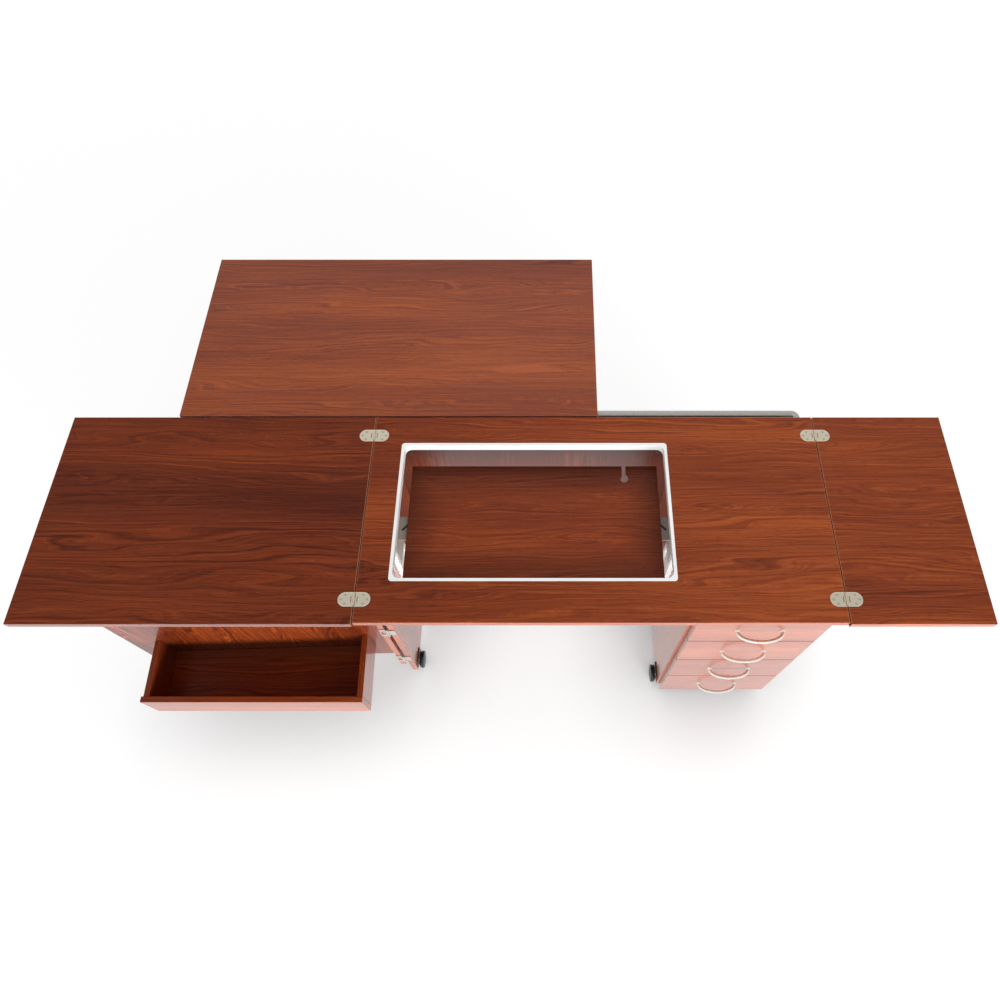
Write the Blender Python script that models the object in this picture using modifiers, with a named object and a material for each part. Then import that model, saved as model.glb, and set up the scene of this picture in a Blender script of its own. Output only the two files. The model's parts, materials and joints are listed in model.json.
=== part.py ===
"""Sewing cabinet with fold-over leaves, a sliding drop leaf, a bin door, a drawer pedestal and a machine lift.

Metres, +Z up. The cabinet datum is the front edge of the centre top, at its middle, on the floor:
+X to the right as the sewer sits, +Y to the back. The whole is then set so that its own box is
centred on the world origin and stands on Z = 0.
"""

import math

import bmesh
import bpy
from mathutils import Euler, Matrix, Vector

# Tops
TABLE_HEIGHT = 0.762
TOP_THICK = 0.019
TOP_WIDTH = 1.046
TOP_DEPTH = 0.505
LEFT_LEAF_WIDTH = 0.7275
RIGHT_LEAF_WIDTH = 0.306
LEAF_FRONT_LAP = 0.003
LEAF_GAP = 0.002
QUILT_WIDTH = 1.010
QUILT_DEPTH = 0.501
QUILT_GAP = 0.0035
QUILT_TRAVEL = 0.480
QUILT_END_INSET = 0.034

# Machine opening and its moulded liner
OPENING_SIDE_ROOM = 0.0355
OPENING_DEPTH = 0.342
OPENING_FRONT = 0.0915
LIP_WIDTH = 0.007
LIP_THICK = 0.0025
LIP_RADIUS = 0.0075
LINER_WALL = 0.0025
LINER_DROP = 0.021
LINER_INNER_RADIUS = 0.015

# Carcass
PANEL_THICK = 0.016
PANEL_BOTTOM = 0.048
LEFT_OVERHANG = 0.0155
RIGHT_OVERHANG = 0.0065
PEDESTAL_WIDTH = 0.312
SUPPORT_FRONT = 0.073
PEDESTAL_FRONT = 0.032
BACK_THICK = 0.012
BACK_INSET = 0.035

# Drawers
DRAWER_COUNT = 4
FRONT_THICK = 0.0175
FRONT_SIDE_INSET = 0.008
FRONT_GAP = 0.003
FRONT_END_GAP = 0.0045
BOX_SIDE_GAP = 0.001
BOX_WALL = 0.012
BOX_FLOOR = 0.006
BOX_HEAD_ROOM = 0.0515
BOX_RISE = 0.022
BOX_BACK_ROOM = 0.020
CLEAT_HEIGHT = 0.012
CLEAT_REACH = 0.006
CLEAT_RISE = 0.052
HANDLE_SPAN = 0.100
HANDLE_REACH = 0.029
HANDLE_RADIUS = 0.0042
HANDLE_FOOT = 0.004
HANDLE_STEPS = 14

# Door with its bin
DOOR_THICK = 0.017
DOOR_BOTTOM = 0.114
DOOR_TOP_GAP = 0.003
DOOR_SETBACK = 0.0345
DOOR_FREE_GAP = 0.003
DOOR_AJAR = math.radians(1.7)
HINGE_BOARD_THICK = 0.015
BIN_END_ROOM = 0.072
BIN_DEPTH = 0.1672
BIN_SKEW = DOOR_AJAR
BIN_HEIGHT = 0.115
BIN_WALL = 0.015
BIN_FLOOR = 0.012
BIN_RISE = 0.081
BIN_FROM_AXIS = 0.0785
BIN_FRONT_LAP = 0.006

# Door hinges
DOOR_HINGE_FROM_LOW = 0.066
DOOR_HINGE_FROM_TOP = 0.048
DOOR_HINGE_TALL = 0.054
DOOR_HINGE_FIXED_TALL = 0.034
DOOR_HINGE_LEAF = 0.0190
DOOR_HINGE_THICK = 0.0014
DOOR_HINGE_AXIS_OUT = 0.002
DOOR_KNUCKLE_RADIUS = 0.0028
DOOR_PIN_RADIUS = 0.0014
DOOR_KNUCKLE_HALF = 0.007
DOOR_HINGE_GAP = 0.0045
DOOR_LEAF_CORNER = 0.0015
DOOR_WINDOW_WIDE = 0.010
DOOR_WINDOW_TALL = 0.028

# Leaf hinges
LEAF_HINGE_LONG = 0.070
LEAF_HINGE_WIDE = 0.032
LEAF_HINGE_THICK = 0.002
LEAF_HINGE_INSET = 0.051
LEAF_HINGE_AXIS_UP = 0.001
LEAF_KNUCKLE_RADIUS = 0.0025
LEAF_PIN_RADIUS = 0.0012
LEAF_KNUCKLE_HALF = 0.005
LEAF_KNUCKLE_SPAN = 0.0135
LEAF_SLOT_FROM_AXIS = 0.0065
LEAF_SLOT_WIDE = 0.0014
LEAF_SLOT_LONG = 0.013

# Quilt leaf rail, glides and brackets
RAIL_RADIUS = 0.009
RAIL_DROP = 0.033
RAIL_BACK = 0.029
RAIL_END_INSET = 0.024
RAIL_BEND = 0.011
RAIL_BEND_STEPS = 5
FLANGE_RADIUS = 0.013
FLANGE_THICK = 0.003
GLIDE_WALL = 0.0017
GLIDE_LENGTH = 0.046
BRACKET_WALL = 0.0024
BRACKET_LENGTH = 0.040
BRACKET_PLATE_THICK = 0.003
BRACKET_PLATE_REACH = 0.070
GLIDE_END_ROOM = 0.004

# Machine lift
PLATFORM_SIDE_ROOM = 0.0165
PLATFORM_END_ROOM = 0.024
PLATFORM_THICK = 0.016
PLATFORM_DROP = 0.072
CABLE_SLOT_WIDTH = 0.010
CABLE_SLOT_LONG = 0.034
CABLE_HOLE_RADIUS = 0.010
CABLE_SLOT_FROM_RIGHT = 0.080
LIFT_RAIL_WIDE = 0.070
LIFT_RAIL_DEEP = 0.012
LIFT_RAIL_WALL = 0.002
LIFT_RAIL_LIP = 0.014
LIFT_RAIL_TOP_GAP = 0.006
LIFT_RAIL_LENGTH = 0.560
LIFT_GUIDE_FORWARD = 0.010
CARRIAGE_THICK = 0.003
CARRIAGE_WIDE = 0.060
CARRIAGE_DROP = 0.150
CARRIAGE_ARM = 0.060
SLIDER_TALL = 0.120

# Casters
WHEEL_RADIUS = 0.025
WHEEL_WIDE = 0.009
WHEEL_SIDES = 32
WHEEL_ROUND = 0.002
AXLE_RADIUS = 0.004
CASTER_PLATE_THICK = 0.0025
CASTER_PLATE_RISE = 0.030
CASTER_PLATE_LONG = 0.044
CASTER_FROM_EDGE = 0.036
CASTER_SIDE_GAP = 0.001
AXLE_HEAD_RADIUS = 0.008
AXLE_HEAD_THICK = 0.0015

# Fits
SEAT_GAP = 0.0003
RUN_GAP = 0.0004
PIN_GAP = 0.0001
EDGE_ROUND = 0.0008
CUT_PAST = 0.004

# Where the main faces lie, from the datum
TOP_UNDER = TABLE_HEIGHT - TOP_THICK
TOP_LEFT = -TOP_WIDTH / 2
TOP_RIGHT = TOP_WIDTH / 2
SUPPORT_OUTER = TOP_LEFT + LEFT_OVERHANG
SUPPORT_INNER = SUPPORT_OUTER + PANEL_THICK
PEDESTAL_RIGHT = TOP_RIGHT - RIGHT_OVERHANG
PEDESTAL_LEFT = PEDESTAL_RIGHT - PEDESTAL_WIDTH
KNEEHOLE_WIDTH = PEDESTAL_LEFT - SUPPORT_INNER
BACK_OUTER = TOP_DEPTH - BACK_INSET
BACK_INNER = BACK_OUTER - BACK_THICK
KNEEHOLE_MIDDLE = SUPPORT_INNER + KNEEHOLE_WIDTH / 2
OPENING_MIDDLE = (KNEEHOLE_MIDDLE, OPENING_FRONT + OPENING_DEPTH / 2)
OPENING_WIDTH = KNEEHOLE_WIDTH - 2 * OPENING_SIDE_ROOM
PLATFORM_WIDTH = OPENING_WIDTH - 2 * PLATFORM_SIDE_ROOM
PLATFORM_DEPTH = OPENING_DEPTH - 2 * PLATFORM_END_ROOM
LEFT_CREASE = TOP_LEFT - LEAF_GAP / 2
RIGHT_CREASE = TOP_RIGHT + LEAF_GAP / 2
QUILT_RIGHT = TOP_RIGHT - QUILT_END_INSET - QUILT_TRAVEL
QUILT_LEFT = QUILT_RIGHT - QUILT_WIDTH
QUILT_NEAR = TOP_DEPTH + QUILT_GAP
QUILT_FAR = QUILT_NEAR + QUILT_DEPTH
RAIL_Y = TOP_DEPTH + RAIL_BACK
RAIL_Z = TABLE_HEIGHT - RAIL_DROP
RAIL_LEFT = TOP_LEFT + RAIL_END_INSET
RAIL_RIGHT = TOP_RIGHT - RAIL_END_INSET
GLIDE_MARGIN = RAIL_BEND + GLIDE_END_ROOM + GLIDE_LENGTH / 2
GLIDE_SPOTS = (RAIL_LEFT + GLIDE_MARGIN, RAIL_RIGHT - GLIDE_MARGIN - QUILT_TRAVEL)
DOOR_AXIS_X = SUPPORT_OUTER - DOOR_HINGE_GAP
DOOR_AXIS_Y = SUPPORT_FRONT - DOOR_HINGE_AXIS_OUT
DOOR_LENGTH = PEDESTAL_LEFT - DOOR_FREE_GAP - DOOR_AXIS_X
BIN_WIDTH = DOOR_LENGTH - BIN_FROM_AXIS - BIN_END_ROOM
DOOR_FACE = DOOR_AXIS_Y + DOOR_SETBACK
DOOR_TOP = TOP_UNDER - DOOR_TOP_GAP
DOOR_HINGE_LOW = DOOR_BOTTOM + DOOR_HINGE_FROM_LOW
DOOR_HINGE_HIGH = DOOR_TOP - DOOR_HINGE_FROM_TOP
DOOR_HINGE_RISES = (DOOR_HINGE_LOW, (DOOR_HINGE_LOW + DOOR_HINGE_HIGH) / 2, DOOR_HINGE_HIGH)
FRONTS_BACK = PEDESTAL_FRONT - SEAT_GAP
FRONTS_FACE = FRONTS_BACK - FRONT_THICK
FRONT_PITCH = (TOP_UNDER - PANEL_BOTTOM - 2 * FRONT_END_GAP) / DRAWER_COUNT
BOX_HEIGHT = FRONT_PITCH - BOX_HEAD_ROOM
PLATFORM_TOP = TABLE_HEIGHT - PLATFORM_DROP
AXLE_Z = WHEEL_RADIUS


def box_middle():
    """Where the middle of the whole object's box lies, from the datum: the leaves reach furthest
    to the sides, the quilt leaf to the back and the bin to the front, where its skew squares it."""
    left = LEFT_CREASE - LEAF_GAP / 2 - LEFT_LEAF_WIDTH
    right = RIGHT_CREASE + LEAF_GAP / 2 + RIGHT_LEAF_WIDTH
    reach = BIN_FROM_AXIS + (BIN_WIDTH + BIN_FRONT_LAP) / 2
    out = DOOR_SETBACK - BIN_DEPTH + BIN_WALL / 2
    bin_middle = DOOR_AXIS_Y + out * math.cos(DOOR_AJAR) - reach * math.sin(DOOR_AJAR)
    bin_front = bin_middle - BIN_WALL / 2
    return Vector(((left + right) / 2, (bin_front + QUILT_FAR) / 2, 0.0))


for old in list(bpy.data.objects):
    bpy.data.objects.remove(old, do_unlink=True)

PARTS = bpy.data.collections.new("sewing_cabinet")
CUTTERS = bpy.data.collections.new("cutters")
bpy.context.scene.collection.children.link(PARTS)
bpy.context.scene.collection.children.link(CUTTERS)


def material(name, colour, roughness, metallic=0.0):
    made = bpy.data.materials.new(name)
    made.use_nodes = True
    shader = made.node_tree.nodes["Principled BSDF"]
    shader.inputs["Base Color"].default_value = (*colour, 1.0)
    shader.inputs["Roughness"].default_value = roughness
    shader.inputs["Metallic"].default_value = metallic
    return made


WOOD = material("cherry_melamine", (0.20, 0.045, 0.018), 0.35)
BOX_WOOD = material("drawer_box_melamine", (0.16, 0.050, 0.025), 0.5)
NICKEL = material("satin_nickel", (0.62, 0.58, 0.50), 0.35, 1.0)
WHITE_STEEL = material("white_painted_steel", (0.80, 0.80, 0.78), 0.4)
TAUPE_STEEL = material("taupe_painted_steel", (0.36, 0.32, 0.27), 0.45)
LINER_WHITE = material("white_abs", (0.86, 0.86, 0.85), 0.35)
RAIL_GREY = material("grey_steel_tube", (0.45, 0.46, 0.47), 0.3, 1.0)
NYLON = material("black_nylon", (0.02, 0.02, 0.022), 0.45)
GLIDE_NYLON = material("white_nylon", (0.75, 0.75, 0.72), 0.5)


class Frame:
    """An empty that carries pieces, and its place from the datum."""

    def __init__(self, name, spot, parent=None, turn=0.0):
        self.spot = Vector(spot)
        self.empty = bpy.data.objects.new(name, None)
        self.empty.empty_display_size = 0.05
        PARTS.objects.link(self.empty)
        if parent is None:
            self.empty.location = self.spot - box_middle()
        else:
            self.empty.parent = parent.empty
            self.empty.location = self.spot - parent.spot
        self.empty.rotation_euler = Euler((0.0, 0.0, turn))


def place(name, mesh, frame, middle, finish, turn=None):
    """An object of this mesh, its origin at middle from the datum, carried by the frame."""
    made = bpy.data.objects.new(name, mesh)
    made.parent = frame.empty
    made.location = Vector(middle) - frame.spot
    if turn is not None:
        made.rotation_euler = turn
    if finish is None:
        CUTTERS.objects.link(made)
        made.hide_render = True
        made.display_type = "WIRE"
    else:
        PARTS.objects.link(made)
        made.data.materials.append(finish)
    return made


def mesh_of(name, shape):
    made = bpy.data.meshes.new(name)
    shape.to_mesh(made)
    shape.free()
    return made


def box_mesh(name, size, corner=0.0, corner_steps=5):
    """A box of this size about its middle, its four upright edges rounded by corner."""
    shape = bmesh.new()
    bmesh.ops.create_cube(shape, size=1.0)
    bmesh.ops.scale(shape, vec=size, verts=shape.verts)
    if corner > 0.0:
        upright = [e for e in shape.edges if abs(e.verts[0].co.z - e.verts[1].co.z) > size[2] / 2]
        bmesh.ops.bevel(
            shape, geom=upright, offset=corner, segments=corner_steps, profile=0.5, affect="EDGES"
        )
    return mesh_of(name, shape)


def rod_mesh(name, radius, length, sides, axis):
    """A cylinder about its middle, along X, Y or Z, with a flat and not an edge at its lowest."""
    shape = bmesh.new()
    bmesh.ops.create_cone(
        shape, cap_ends=True, segments=sides, radius1=radius, radius2=radius, depth=length
    )
    half_side = Matrix.Rotation(math.pi / sides, 3, "Z")
    bmesh.ops.rotate(shape, matrix=half_side, verts=shape.verts)
    if axis == "X":
        bmesh.ops.rotate(shape, matrix=Matrix.Rotation(math.pi / 2, 3, "Y"), verts=shape.verts)
    if axis == "Y":
        bmesh.ops.rotate(shape, matrix=Matrix.Rotation(math.pi / 2, 3, "X"), verts=shape.verts)
    made = mesh_of(name, shape)
    made.shade_smooth()
    made.set_sharp_from_angle(angle=math.radians(40))
    return made


def board(name, frame, low, high, finish=WOOD, edge=EDGE_ROUND, skew=0.0):
    """A board between two corners given from the datum, its edges eased, then skewed about its upright."""
    low, high = Vector(low), Vector(high)
    turn = Euler((0.0, 0.0, skew))
    made = place(name, box_mesh(name, high - low), frame, (low + high) / 2, finish, turn)
    if edge > 0.0 and finish is not None:
        ease = made.modifiers.new("ease", "BEVEL")
        ease.width = edge
        ease.segments = 1
        ease.limit_method = "ANGLE"
        ease.angle_limit = math.radians(50)
    return made


def rod(name, frame, middle, radius, length, axis, finish=None, sides=24):
    return place(name, rod_mesh(name, radius, length, sides, axis), frame, middle, finish)


def combine(target, tool, operation):
    step = target.modifiers.new(tool.name, "BOOLEAN")
    step.operation = operation
    step.solver = "EXACT"
    step.object = tool


def cut(target, tool):
    combine(target, tool, "DIFFERENCE")


def weld_on(target, tool):
    combine(target, tool, "UNION")


def curve_mesh(name, curve):
    """The closed mesh of a curve, its caps welded, and the curve gone."""
    holder = bpy.data.objects.new(name, curve)
    bpy.context.scene.collection.objects.link(holder)
    graph = bpy.context.evaluated_depsgraph_get()
    made = bpy.data.meshes.new_from_object(holder.evaluated_get(graph))
    bpy.data.objects.remove(holder, do_unlink=True)
    bpy.data.curves.remove(curve)
    shape = bmesh.new()
    shape.from_mesh(made)
    bmesh.ops.remove_doubles(shape, verts=shape.verts, dist=1e-6)
    bmesh.ops.recalc_face_normals(shape, faces=shape.faces)
    shape.to_mesh(made)
    shape.free()
    made.name = name
    return made


def outline_mesh(name, outlines, thick):
    """A flat plate about its mid-plane, from an outer outline and any holes in it."""
    curve = bpy.data.curves.new(name, "CURVE")
    curve.dimensions = "2D"
    curve.fill_mode = "BOTH"
    curve.extrude = thick / 2
    for points in outlines:
        line = curve.splines.new("POLY")
        line.points.add(len(points) - 1)
        line.use_cyclic_u = True
        for point, (x, y) in zip(line.points, points):
            point.co = (x, y, 0.0, 1.0)
    return curve_mesh(name, curve)


def tube_mesh(name, path, radius):
    """A round bar along a path of points."""
    curve = bpy.data.curves.new(name, "CURVE")
    curve.dimensions = "3D"
    curve.bevel_depth = radius
    curve.bevel_resolution = 3
    curve.use_fill_caps = True
    line = curve.splines.new("POLY")
    line.points.add(len(path) - 1)
    for point, spot in zip(line.points, path):
        point.co = (*spot, 1.0)
    made = curve_mesh(name, curve)
    made.shade_smooth()
    made.set_sharp_from_angle(angle=math.radians(50))
    return made


def arc(middle, radius, start, end, steps):
    """Points along an arc, angles in degrees."""
    found = []
    for step in range(steps + 1):
        angle = math.radians(start + (end - start) * step / steps)
        found.append((middle[0] + radius * math.cos(angle), middle[1] + radius * math.sin(angle)))
    return found


def hinge_outline(side, reach, half_wide, corner, tongues, notches, neck, gap):
    """One leaf of a hinge, seen flat, its knuckle axis along Y through 0. side is +1 or -1.
    tongues are the Y spans that run in to the axis, notches those cut back to neck, and the rest
    of the inner edge stands at gap. corner rounds the two far corners."""
    steps = 8
    inner = []
    marks = sorted([(a, b, 0.0) for a, b in tongues] + [(a, b, neck) for a, b in notches])
    last = -half_wide
    for low, high, depth in marks:
        if low - last > 1e-7:
            inner += [(gap, last), (gap, low)]
        inner += [(depth, low), (depth, high)]
        last = high
    if half_wide - last > 1e-7:
        inner += [(gap, last), (gap, half_wide)]
    inner.reverse()
    low_corner = arc((reach - corner, corner - half_wide), corner, -90, 0, steps)
    high_corner = arc((reach - corner, half_wide - corner), corner, 0, 90, steps)
    if half_wide - corner < 1e-7:
        high_corner = high_corner[1:]
    return [(side * x, y) for x, y in low_corner + high_corner + inner]


class HingeSizes:
    """Sizes of a butt hinge: the knuckle axis lies along Y, and both leaves lie below it."""

    def __init__(
        self, reach, half_wide, fixed_half, thick, drop, knuckle, pin, middle_half, span, gap, corner
    ):
        self.reach = reach
        self.half_wide = half_wide
        self.fixed_half = fixed_half
        self.thick = thick
        self.drop = drop
        self.knuckle = knuckle
        self.pin = pin
        self.middle_half = middle_half
        self.span = span
        self.gap = gap
        self.corner = corner
        self.neck = knuckle + gap


LEAF_HINGE = HingeSizes(
    reach=LEAF_HINGE_LONG / 2,
    half_wide=LEAF_HINGE_WIDE / 2,
    fixed_half=LEAF_HINGE_WIDE / 2,
    thick=LEAF_HINGE_THICK,
    drop=LEAF_HINGE_AXIS_UP,
    knuckle=LEAF_KNUCKLE_RADIUS,
    pin=LEAF_PIN_RADIUS,
    middle_half=LEAF_KNUCKLE_HALF,
    span=LEAF_KNUCKLE_SPAN,
    gap=RUN_GAP,
    corner=LEAF_HINGE_WIDE / 2,
)
DOOR_HINGE = HingeSizes(
    reach=DOOR_HINGE_LEAF,
    half_wide=DOOR_HINGE_TALL / 2,
    fixed_half=DOOR_HINGE_FIXED_TALL / 2,
    thick=DOOR_HINGE_THICK,
    drop=DOOR_HINGE_AXIS_OUT - SEAT_GAP - DOOR_HINGE_THICK,
    knuckle=DOOR_KNUCKLE_RADIUS,
    pin=DOOR_PIN_RADIUS,
    middle_half=DOOR_KNUCKLE_HALF,
    span=DOOR_HINGE_TALL / 2,
    gap=RUN_GAP,
    corner=DOOR_LEAF_CORNER,
)


def cutout(side, from_axis, wide, tall):
    """The outline of a rectangular hole in a hinge leaf, its middle this far from the axis."""
    near, far = side * (from_axis - wide / 2), side * (from_axis + wide / 2)
    return [(near, -tall / 2), (far, -tall / 2), (far, tall / 2), (near, tall / 2)]


def hinge(name, sizes, axis_spot, turn, fixed_frame, moving_frame, fixed_holes, moving_holes):
    """The two leaves of a hinge. The fixed leaf lies on +X of the hinge's own axes and holds the
    middle knuckle and the pin. The moving leaf lies on -X and has the two bored outer knuckles."""
    spin = turn.to_matrix()
    near = sizes.middle_half + sizes.gap
    notch = min(sizes.span + sizes.gap, sizes.fixed_half)

    def spot(x, y, z):
        return Vector(axis_spot) + spin @ Vector((x, y, z))

    def plate(label, frame, side, half_wide, tongues, notches, holes):
        line = hinge_outline(
            side, sizes.reach, half_wide, sizes.corner, tongues, notches, sizes.neck, sizes.gap
        )
        flat = outline_mesh(label, [line] + [cutout(side, *hole) for hole in holes], sizes.thick)
        return place(label, flat, frame, spot(0, 0, -sizes.drop - sizes.thick / 2), NICKEL, turn)

    def bar(label, frame, y, radius, length):
        mesh = rod_mesh(label, radius, length, 16, "Y")
        return place(label, mesh, frame, spot(0, y, 0), None, turn)

    fixed = plate(
        name + "_fixed",
        fixed_frame,
        1,
        sizes.fixed_half,
        [(-sizes.middle_half, sizes.middle_half)],
        [(-notch, -sizes.middle_half), (sizes.middle_half, notch)],
        fixed_holes,
    )
    weld_on(fixed, bar(name + "_mid", fixed_frame, 0, sizes.knuckle, 2 * sizes.middle_half))
    weld_on(fixed, bar(name + "_pin", fixed_frame, 0, sizes.pin, 2 * sizes.span))
    moving = plate(
        name + "_moving",
        moving_frame,
        -1,
        sizes.half_wide,
        [(-sizes.span, -near), (near, sizes.span)],
        [(-near, near)],
        moving_holes,
    )
    outer_length = sizes.span - near
    outer_middle = (sizes.span + near) / 2
    for label, y in (("_low", -outer_middle), ("_high", outer_middle)):
        weld_on(moving, bar(name + label, moving_frame, y, sizes.knuckle, outer_length))
    cut(moving, bar(name + "_bore", moving_frame, 0, sizes.pin + PIN_GAP, 2 * sizes.half_wide + CUT_PAST))


def hinge_pocket(name, board_object, frame, axis_spot):
    """The stadium recess for a leaf hinge, cut into a top."""
    long = LEAF_HINGE_LONG + 2 * SEAT_GAP
    wide = LEAF_HINGE_WIDE + 2 * SEAT_GAP
    deep = LEAF_HINGE_THICK + SEAT_GAP
    mesh = box_mesh(name, (long, wide, deep + CUT_PAST), wide / 2 - 1e-5, 8)
    middle = (axis_spot[0], axis_spot[1], TABLE_HEIGHT - deep / 2 + CUT_PAST / 2)
    cut(board_object, place(name, mesh, frame, middle, None))


# Carriers: the cabinet, and an empty on each joint's axis
CABINET = Frame("cabinet", (0.0, 0.0, 0.0))
LEAF_AXIS_Z = TABLE_HEIGHT + LEAF_HINGE_AXIS_UP
LEFT_SWING = Frame("left_leaf_axis", (LEFT_CREASE, TOP_DEPTH / 2, LEAF_AXIS_Z), CABINET)
RIGHT_SWING = Frame("right_leaf_axis", (RIGHT_CREASE, TOP_DEPTH / 2, LEAF_AXIS_Z), CABINET)
QUILT_SLIDE = Frame("quilt_slide_axis", (QUILT_LEFT + QUILT_WIDTH / 2, RAIL_Y, RAIL_Z), CABINET)
QUILT_SWING = Frame("quilt_leaf_axis", (QUILT_LEFT + QUILT_WIDTH / 2, RAIL_Y, RAIL_Z), QUILT_SLIDE)
DOOR_SWING = Frame("door_axis", (DOOR_AXIS_X, DOOR_AXIS_Y, DOOR_BOTTOM), CABINET, DOOR_AJAR)
LIFT = Frame("lift_axis", (*OPENING_MIDDLE, PLATFORM_TOP), CABINET)


def build_tops():
    top = board(
        "centre_top",
        CABINET,
        (TOP_LEFT, 0.0, TOP_UNDER),
        (TOP_RIGHT, TOP_DEPTH, TABLE_HEIGHT),
    )
    left = board(
        "left_leaf",
        LEFT_SWING,
        (TOP_LEFT - LEAF_GAP - LEFT_LEAF_WIDTH, -LEAF_FRONT_LAP, TOP_UNDER),
        (TOP_LEFT - LEAF_GAP, TOP_DEPTH, TABLE_HEIGHT),
    )
    right = board(
        "right_leaf",
        RIGHT_SWING,
        (TOP_RIGHT + LEAF_GAP, -LEAF_FRONT_LAP, TOP_UNDER),
        (TOP_RIGHT + LEAF_GAP + RIGHT_LEAF_WIDTH, TOP_DEPTH, TABLE_HEIGHT),
    )
    half_turn = Euler((0.0, 0.0, math.pi))
    sides = (
        ("left", LEFT_CREASE, left, LEFT_SWING, Euler((0.0, 0.0, 0.0))),
        ("right", RIGHT_CREASE, right, RIGHT_SWING, half_turn),
    )
    for side, crease, leaf, swing, turn in sides:
        for end, y in (("front", LEAF_HINGE_INSET), ("back", TOP_DEPTH - LEAF_HINGE_INSET)):
            name = side + "_leaf_hinge_" + end
            spot = (crease, y, LEAF_AXIS_Z)
            hinge_pocket(name + "_pocket", top, CABINET, spot)
            hinge_pocket(name + "_leaf_pocket", leaf, swing, spot)
            slots = [(LEAF_SLOT_FROM_AXIS, LEAF_SLOT_WIDE, LEAF_SLOT_LONG)]
            hinge(name, LEAF_HINGE, spot, turn, CABINET, swing, slots, slots)
    return top


def opening_block(name, shrink, radius, low, high, finish=None):
    """A rounded block on the opening's middle, drawn in by shrink all round."""
    size = (OPENING_WIDTH - 2 * shrink, OPENING_DEPTH - 2 * shrink, high - low)
    middle = (*OPENING_MIDDLE, (low + high) / 2)
    return place(name, box_mesh(name, size, radius), CABINET, middle, finish)


def build_liner(top):
    """A flanged frame let into the top: a lip on a shallow rebate and a wall down through it."""
    wall_shrink = LIP_WIDTH - LINER_WALL
    lip_under = TABLE_HEIGHT - LIP_THICK
    liner = opening_block("opening_liner", 0.0, LIP_RADIUS, lip_under, TABLE_HEIGHT, LINER_WHITE)
    wall = opening_block(
        "liner_wall", wall_shrink, LIP_RADIUS, TABLE_HEIGHT - LINER_DROP, TABLE_HEIGHT - LIP_THICK / 2
    )
    hole = opening_block(
        "liner_hole",
        LIP_WIDTH,
        LINER_INNER_RADIUS,
        TABLE_HEIGHT - LINER_DROP - CUT_PAST,
        TABLE_HEIGHT + CUT_PAST,
    )
    weld_on(liner, wall)
    cut(liner, hole)
    rebate = opening_block(
        "lip_rebate", -SEAT_GAP, LIP_RADIUS, lip_under - SEAT_GAP, TABLE_HEIGHT + CUT_PAST
    )
    well = opening_block(
        "wall_hole", wall_shrink - SEAT_GAP, LIP_RADIUS, TOP_UNDER - CUT_PAST, TABLE_HEIGHT + CUT_PAST
    )
    cut(top, rebate)
    cut(top, well)


def build_carcass():
    under = TOP_UNDER - SEAT_GAP
    back = BACK_INNER - SEAT_GAP
    board(
        "left_support_panel",
        CABINET,
        (SUPPORT_OUTER, SUPPORT_FRONT, PANEL_BOTTOM),
        (SUPPORT_INNER, back, under),
    )
    sides = []
    for name, left in (
        ("pedestal_left_side", PEDESTAL_LEFT),
        ("pedestal_right_side", PEDESTAL_RIGHT - PANEL_THICK),
    ):
        low = (left, PEDESTAL_FRONT, PANEL_BOTTOM)
        sides.append(board(name, CABINET, low, (left + PANEL_THICK, back, under)))
    inner_left = PEDESTAL_LEFT + PANEL_THICK + SEAT_GAP
    inner_right = PEDESTAL_RIGHT - PANEL_THICK - SEAT_GAP
    board(
        "pedestal_bottom",
        CABINET,
        (inner_left, PEDESTAL_FRONT, PANEL_BOTTOM),
        (inner_right, back, PANEL_BOTTOM + PANEL_THICK),
    )
    board(
        "back_panel",
        CABINET,
        (SUPPORT_OUTER, BACK_INNER, PANEL_BOTTOM),
        (PEDESTAL_RIGHT, BACK_OUTER, under),
    )
    return sides


def bow_path():
    """Two short feet square to the drawer front, and half an ellipse from one to the other."""
    half = HANDLE_SPAN / 2
    bow = HANDLE_REACH - HANDLE_FOOT - HANDLE_RADIUS
    points = [(-half, 0.0, 0.0)]
    for step in range(HANDLE_STEPS + 1):
        angle = math.pi * step / HANDLE_STEPS
        points.append((-half * math.cos(angle), -HANDLE_FOOT - bow * math.sin(angle), 0.0))
    points.append((half, 0.0, 0.0))
    return points


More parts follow.
